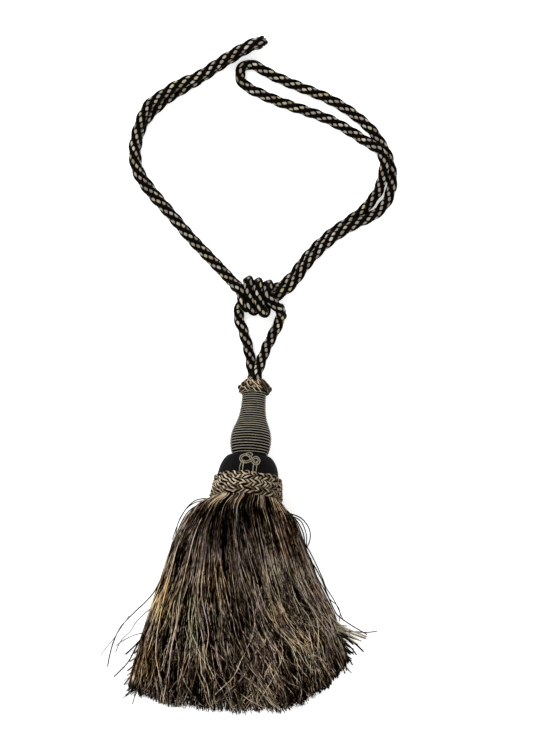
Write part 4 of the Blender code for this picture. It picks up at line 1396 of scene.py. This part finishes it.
# Noise scales and strengths: the streaks along a yarn, partly its own tone and partly painted
# highlights, wide regions, and the dye lots
STREAKS_APART, STREAKS_PER_METRE, STREAK = 90.0, 150.0, 0.7
REGION_SCALE, REGION = 34.0, 0.4
LOT_SCALE, LOT_SHARED, LOT_OWN = 52.0, 0.72, 0.28
# Where the yarn tips are painted darker, how strongly, and the colour of that painted shade
SHADED_TIP_SPAN = (0.955, 0.995)
TIP_SHADE_STRENGTH = 0.82
TIP_SHADE_COLOUR = (0.004, 0.0025, 0.002)


def yarn_finish(name, pale, root):
    """The mixed yarns. pale makes them lighter, root paints shade on them where they leave the band."""
    finish, bench, shader = new_finish(name, Specular_IOR_Level=0.0)
    tone = bench.stored("tone")
    along, down = bench.strands()
    spot = bench.spot()
    # Streaks along each yarn: partly its own tone, partly painted highlights of its crimp
    streak_and_glint = bench.noise(
        bench.vector(tone * STREAKS_APART, along * STREAKS_PER_METRE), 1.0, 2.0)
    region = bench.noise(spot, REGION_SCALE, 2.0)
    mixed = tone + (streak_and_glint - 0.5) * STREAK + (region - 0.5) * REGION + pale
    # Painted shade under the band: the yarns are darker where they leave it
    mixed = mixed - (1.0 - down.step_up(0.03, 0.26)) * root
    colour = bench.ramp(mixed.at_least(0.0).at_most(1.0), YARN_STOPS)
    # What is left over of a multiple of the tone is one more random number for each yarn
    lot = bench.noise(spot, LOT_SCALE, 2.0) * LOT_SHARED + (tone * 91.0) % 1.0 * LOT_OWN
    colour = bench.blend(1.0, colour, bench.ramp(lot, DYE_LOTS), "MULTIPLY")
    own_share = (tone * 37.0) % 1.0 * 0.7 + 0.3
    for x, y, wide, high, tint, strength in YARN_PATCHES:
        dx = (spot.part(0) - x * MM) / (wide * MM)
        dy = (spot.part(1) - y * MM) / (high * MM)
        near = (1.0 - (dx * dx + dy * dy)).step_up(-0.6, 0.9) * strength * own_share
        colour = bench.blend(near, colour, tint, "MULTIPLY")
    # Painted shade at the cut ends, between the yarn tips
    colour = bench.blend(down.step_up(*SHADED_TIP_SPAN) * TIP_SHADE_STRENGTH, colour, TIP_SHADE_COLOUR)
    finish_with(bench, shader, colour, 0.62 - streak_and_glint * 0.2)
    return finish


# %% [markdown]
# The dark body inside the yarns closes the view between them: it is painted shade for the deep
# gaps between the yarns. It follows the guide surface a few millimetres inside it and ends a
# little above the hem.

# %% The body inside
BODY_DEPTH = 3.6
BODY_DEPTH_SHARE = 0.42
BODY_END = 0.955
BODY_RIM = 3.0
BODY_LOWEST = 0.6


def skirt_body():
    shape = bmesh.new()
    rings = [ring for share, ring in skirt_rings() if -0.01 < share < BODY_END]
    grid = []
    for j, ring in enumerate(rings):
        left, right = ring[0], ring[SKIRT_AROUND // 2]
        drawn_in = 2 * BODY_RIM / (right - left).length
        grid.append([])
        for i, point in enumerate(ring):
            beside = ring[(i + 1) % SKIRT_AROUND] - ring[i - 1]
            ahead = rings[min(j + 1, len(rings) - 1)][i] - rings[max(j - 1, 0)][i]
            thick = (ring[-i] - point).length
            inward = beside.cross(ahead).normalized() * min(BODY_DEPTH, thick * BODY_DEPTH_SHARE)
            moved = point + inward + ((left + right) / 2 - point) * drawn_in
            moved.z = max(moved.z, BODY_LOWEST)
            grid[-1].append(shape.verts.new(moved * MM))
    skin_rings(shape, grid, over=True)
    for ring in (grid[0], grid[-1][::-1]):
        for i in range(SKIRT_AROUND // 2):
            corners = dict.fromkeys((ring[i], ring[i + 1], ring[-i - 1], ring[-i]))
            shape.faces.new(list(corners)).smooth = True
    return object_from("skirt_body", shape)


body = skirt_body()
# The body's nearly black finish is painted shade for the deep gaps between the yarns
body.data.materials.append(shade_filler("skirt_body_shade_fill"))
fit(body, "skirt_yarn", "skirt")

# %% Lay the skirt's yarns
YARN_SHARES = ("Yarns", "Points", "Around", "Start", "End", "Fill", "Bundles", "Lock sway",
               "Yarn sway", "Cross", "Splay")
YARN_LENGTHS = ("Depth", "Relief", "Dive", "Girth")
# The inputs above in their order, with lengths in millimetres, and then the finish's pale and
# root, the painted shade under the band
YARN_SETS = {
    "skirt_top": (1320, 24, (0.0, 0.5), (-0.03, 0.0), (0.950, 1.000), (0.0, 0.0), 420.0, 0.038,
                  0.044, 0.16, 0.06, (0.2, 2.0), 3.6, 0.0, (0.30, 0.42), 0.035, 0.22),
    "skirt_over": (1020, 27, (0.01, 0.49), (-0.03, 0.0), (0.86, 1.0), (0.0, 0.0), 520.0, 0.040,
                   0.050, 0.30, 0.12, (-0.3, 1.2), 3.0, 0.0, (0.26, 0.36), 0.05, 0.27),
    "skirt_root": (240, 16, (0.03, 0.47), (-0.03, -0.01), (0.12, 0.40), (0.0, 0.0), 240.0, 0.034,
                   0.03, 0.08, 0.0, (-1.0, -0.2), 1.2, 5.0, (0.17, 0.26), 0.08, 0.0),
    "skirt_under": (620, 14, (0.5, 1.0), (-0.03, 0.0), (0.93, 1.0), (0.0, 0.0), 400.0, 0.020,
                    0.016, 0.03, 0.0, (0.2, 2.4), 1.0, 0.0, (0.40, 0.60), 0.0, 0.0),
    "skirt_ends": (1470, 5, (0.01, 0.49), (0.84, 0.89), (0.955, 1.012), (0.03, 0.97), 170.0, 0.030,
                   0.020, 0.01, 0.0, (0.0, 1.0), 0.5, 0.0, (0.42, 0.60), -0.02, 0.0),
}
for number, (name, (*row, pale, root)) in enumerate(YARN_SETS.items()):
    values = dict(zip(YARN_SHARES + YARN_LENGTHS, row))
    for label in YARN_LENGTHS:
        size = values[label]
        values[label] = (size[0] * MM, size[1] * MM) if isinstance(size, tuple) else size * MM
    yarns = cook(name, lay_yarns, {
        **values, "Guide": skirt_surface, "Seed": 100 * number + 7, "Sides": 3,
        "Yarn": yarn_finish(name + "_yarn", pale, root)})
    fit(yarns, "skirt_yarn", "skirt")
clear_away(skirt_surface)

# %% Stray yarns
# How thick each yarn is, then places from the root in the skirt to the free tip, in millimetres
STRAYS = [
    (0.36, [(-60, 60, 30), (-69, 36, 16), (-80, 11.7, 10), (-89, 0, 8), (-101, -11.5, 5),
            (-112.5, -24, 3), (-119.0, -37, 1), (-122.6, -49.5, 1), (-124.6, -60, 1)]),
    (0.46, [(-80, -8, 14), (-89, -28, 8), (-98, -39, 4), (-108.4, -48.9, 1)]),
    (0.36, [(-86, -20, 12), (-98, -41, 6), (-105.5, -55, 3), (-112.9, -63.2, 1), (-119, -69.2, 1)]),
    (0.42, [(-86, -42, 9), (-95, -52, 5), (-100, -58, 3), (-106.7, -63.6, 1)]),
    (0.40, [(-88, -44, 9), (-96, -56, 5), (-102, -66, 3), (-110, -76.5, 1)]),
    (0.36, [(-88, -50, 9), (-96, -62, 5), (-101, -72, 3), (-105.5, -82, 1)]),
    (0.36, [(-90, -56, 9), (-96, -68, 4), (-103.5, -82.7, 1)]),
    (0.30, [(-22, 92, 52), (-33, 93, 44), (-43, 91.5, 36), (-50, 87, 30), (-56, 79, 24),
            (-61, 69, 18), (-66, 55, 12)]),
    (0.26, [(-24, 93, 52), (-35, 91.5, 42), (-46, 88.5, 34), (-54, 82, 26), (-60, 72, 18),
            (-63, 60, 14)]),
    (0.30, [(-28, 90, 48), (-40, 88, 40), (-51, 81, 30), (-58, 70, 20), (-64, 56, 15)]),
    (0.32, [(30, 82, 50), (40, 79, 34), (49, 75, 24), (55, 68, 14), (57.6, 61, 11),
            (57, 53, 10), (53, 45, 12)]),
    (0.28, [(30, 80, 48), (40, 77, 30), (49, 72, 20), (53.5, 62, 12), (54.5, 54, 10),
            (54, 42, 10)]),
    (0.32, [(34, 78, 40), (44, 74, 26), (51, 62, 16), (53, 50, 12), (56, 34, 9)]),
    (0.34, [(50, 58, 24), (56, 40, 12), (62, 30, 10), (68, 19, 8), (73, 6, 8), (79, -8, 6),
            (83, -14, 4), (94, -22, 2), (109, -31, 1)]),
    (0.28, [(50, 50, 22), (57, 33, 10), (61, 23, 8), (66, 10, 8), (72, 0, 7), (78, -10, 5),
            (84, -26, 3), (86, -38, 2)]),
    (0.24, [(52, 46, 18), (58, 26, 10), (63, 12, 9), (70, 0, 8), (76, -14, 7)]),
    (0.28, [(51, 55, 20), (59, 41, 12), (68, 22, 10), (72, 11.7, 9), (78.5, 1.6, 8), (83, -7.4, 7),
            (87, -17, 5)]),
    (0.26, [(50, 52, 20), (58, 38, 12), (63.5, 22, 10), (69.5, 11.7, 9), (75, 1.6, 8),
            (81.5, -4, 7), (84.5, -10.7, 6), (84, -19, 5)]),
    (0.30, [(76, -14, 10), (86, -27, 4), (94, -28, 2), (108, -29, 1), (118, -28, 1)]),
    (0.50, [(82, -30, 10), (90, -34, 5), (97, -38, 2), (106, -46.5, 1)]),
    (0.42, [(80, -32, 9), (88, -37, 5), (94, -42, 2), (99.6, -49.5, 1)]),
    (0.40, [(78, -38, 9), (86, -44, 5), (91, -50, 2), (96, -58.5, 1)]),
]
FAINT_STRAYS = [
    (0.25, [(-105, -14, 5), (-112.5, -25, 3), (-120, -36, 2), (-126, -43, 1), (-131, -50, 1)]),
    (0.26, [(-80, -4, 12), (-89, -10, 9), (-99, -20, 6), (-104, -28, 3), (-112.5, -36.5, 1),
            (-117.5, -47, 1)]),
    (0.28, [(-84, -26, 10), (-92, -29, 6), (-102, -32, 3), (-113, -38, 1), (-117, -41, 1)]),
]
PALE_STRAYS = [
    (0.44, [(74, -12, 14), (86, -23, 6), (96.6, -28, 3), (109, -33, 1)]),
    (0.46, [(74, -14, 13), (86, -25, 6), (97, -30.5, 3), (108, -34.6, 1)]),
    (0.44, [(75, -17, 12), (86, -27, 5), (96, -33, 3), (104, -37, 1)]),
    (0.40, [(75, -20, 11), (86, -30, 5), (95, -36, 3), (101, -40, 1)]),
]
# For each lower corner: yarns, the two ends of the edge they leave, their ways in degrees and
# how far they reach
CORNER_TUFTS = [
    (20, (-89, -44, 7), (-96, -78, 4), (-150, -112), (10, 19)),
    (26, (80, -24, 9), (85, -56, 6), (-64, -24), (9, 20)),
]
PALE_TUFTS = [
    (34, (-86, -30, 14), (-92, -72, 9), (-150, -120), (14, 24)),
    (6, (80, -20, 11), (84, -32, 8), (-38, -20), (9, 15)),
]
TUFT_THICK = (0.22, 0.42)
TUFT_FAN, TUFT_BEND, TUFT_LIFT = 9, 0.25, 0.8
TUFT_LONGER, TUFT_SHORTENS = 1.15, 0.35
STRAY_PIECES = 5
STRAY_RADIUS = 2.15
STRAY_TAPER = 0.3
# Painted shade for the hollows of the stray yarns
STRAY_HOLLOW_SHADE = (0.004, 0.003, 0.002)


def corner_yarns(tufts, seed):
    """Short yarns that leave the skirt's lower corners, as STRAYS rows."""
    chance = random.Random(seed)
    rows = []
    for yarns, first, last, ways, reach in tufts:
        at_right = first[0] > 0
        for i in range(yarns):
            share = (i + chance.random()) / yarns
            root = Vector(first).lerp(Vector(last), share)
            way = math.radians(ways[1] + (ways[0] - ways[1]) * chance.random())
            if at_right:
                fan = chance.uniform(-TUFT_FAN, TUFT_FAN)
                way = math.radians(ways[1] + (ways[0] - ways[1]) * share + fan)
            run = chance.uniform(*reach) * (TUFT_LONGER - TUFT_SHORTENS * share if at_right else 1.0)
            bend = chance.uniform(-TUFT_BEND, TUFT_BEND)
            points = []
            for k in (0, 1 / 3, 2 / 3, 1):
                turn = way + bend * (k - 0.5)
                points.append((root.x + math.cos(turn) * run * k,
                               root.y + math.sin(turn) * run * k, root.z * (1 - k) + TUFT_LIFT))
            rows.append((chance.uniform(*TUFT_THICK), points))
    return rows


STRAY_SETS = {
    "skirt_strays": (STRAYS + corner_yarns(CORNER_TUFTS, 5), [
        (0.0, (0.003, 0.002, 0.0015)), (0.6, (0.009, 0.007, 0.0055)), (0.85, (0.03, 0.025, 0.02)),
        (1.0, (0.12, 0.10, 0.075))]),
    "skirt_faint_strays": (FAINT_STRAYS, [
        (0.0, (0.10, 0.095, 0.09)), (0.5, (0.20, 0.19, 0.18)), (1.0, (0.30, 0.29, 0.27))]),
    "skirt_pale_strays": (PALE_STRAYS + corner_yarns(PALE_TUFTS, 9), [
        (0.0, (0.10, 0.082, 0.055)), (0.5, (0.24, 0.205, 0.14)), (1.0, (0.40, 0.35, 0.26))]),
}
for name, (rows, stops) in STRAY_SETS.items():
    lines = [smooth_line([point * MM for point in vectors(points)], STRAY_PIECES)
             for _, points in rows]
    girths = [[STRAY_RADIUS * thick * (1 - STRAY_TAPER * i / len(line)) for i in range(len(line))]
              for (thick, _), line in zip(rows, lines)]
    yarns = make_gimp(name, lines, gimp_finish(name + "_yarn", stops, STRAY_HOLLOW_SHADE, 0.1, 0.6),
                      plies=1, ply_r=1.0, orbit=0.0, sides=5, seed=4, girths=girths)
    fit(yarns, "skirt_yarn", "skirt")

# %% [markdown]
# ## Table and light
#
# The table is nearly white and matt, and glows a little: a painted light that fills the shadows on
# it. A bright even sky keeps the shadows faint, and a broad lamp from the upper left models the
# yarns.

# %% Table
FLOOR_HALF = 3.0
# TABLE_GLOW is the table's glow, a painted light that fills the shadows on it
TABLE_GLOW = 0.50


def make_table():
    mesh = bpy.data.meshes.new("table")
    corners = [(-1, -1), (1, -1), (1, 1), (-1, 1)]
    mesh.from_pydata([(x * FLOOR_HALF, y * FLOOR_HALF, 0.0) for x, y in corners], [], [(0, 1, 2, 3)])
    finish, bench, shader = new_finish(
        "table_top", Roughness=0.9, Specular_IOR_Level=0.1, Emission_Strength=TABLE_GLOW,
        Emission_Color=(1.0, 1.0, 1.0, 1.0))
    shade = bench.noise(bench.spot(), 3.0)
    finish_with(bench, shader, bench.blend(shade, (0.93, 0.93, 0.93), (0.97, 0.97, 0.97)))
    mesh.materials.append(finish)
    add_object("table", mesh)


make_table()

# %% Light
SKY_STRENGTH = 0.95
scene.view_settings.view_transform = "Standard"
scene.view_settings.look = "None"
world = bpy.data.worlds.new("soft_sky")
world.use_nodes = True
world.node_tree.nodes["Background"].inputs["Color"].default_value = (1.0, 1.0, 1.0, 1.0)
world.node_tree.nodes["Background"].inputs["Strength"].default_value = SKY_STRENGTH
scene.world = world


def add_lamp(name, place, aim, size, power):
    lamp = bpy.data.lights.new(name, "AREA")
    lamp.shape = "DISK"
    lamp.size = size
    lamp.energy = power
    made = add_object(name, lamp)
    made.location = place
    made.rotation_euler = (Vector(aim) - Vector(place)).to_track_quat("-Z", "Y").to_euler()


add_lamp("key", place=(-0.9, 1.3, 1.8), aim=(0.0, 0.2, 0.0), size=0.7, power=30.0)
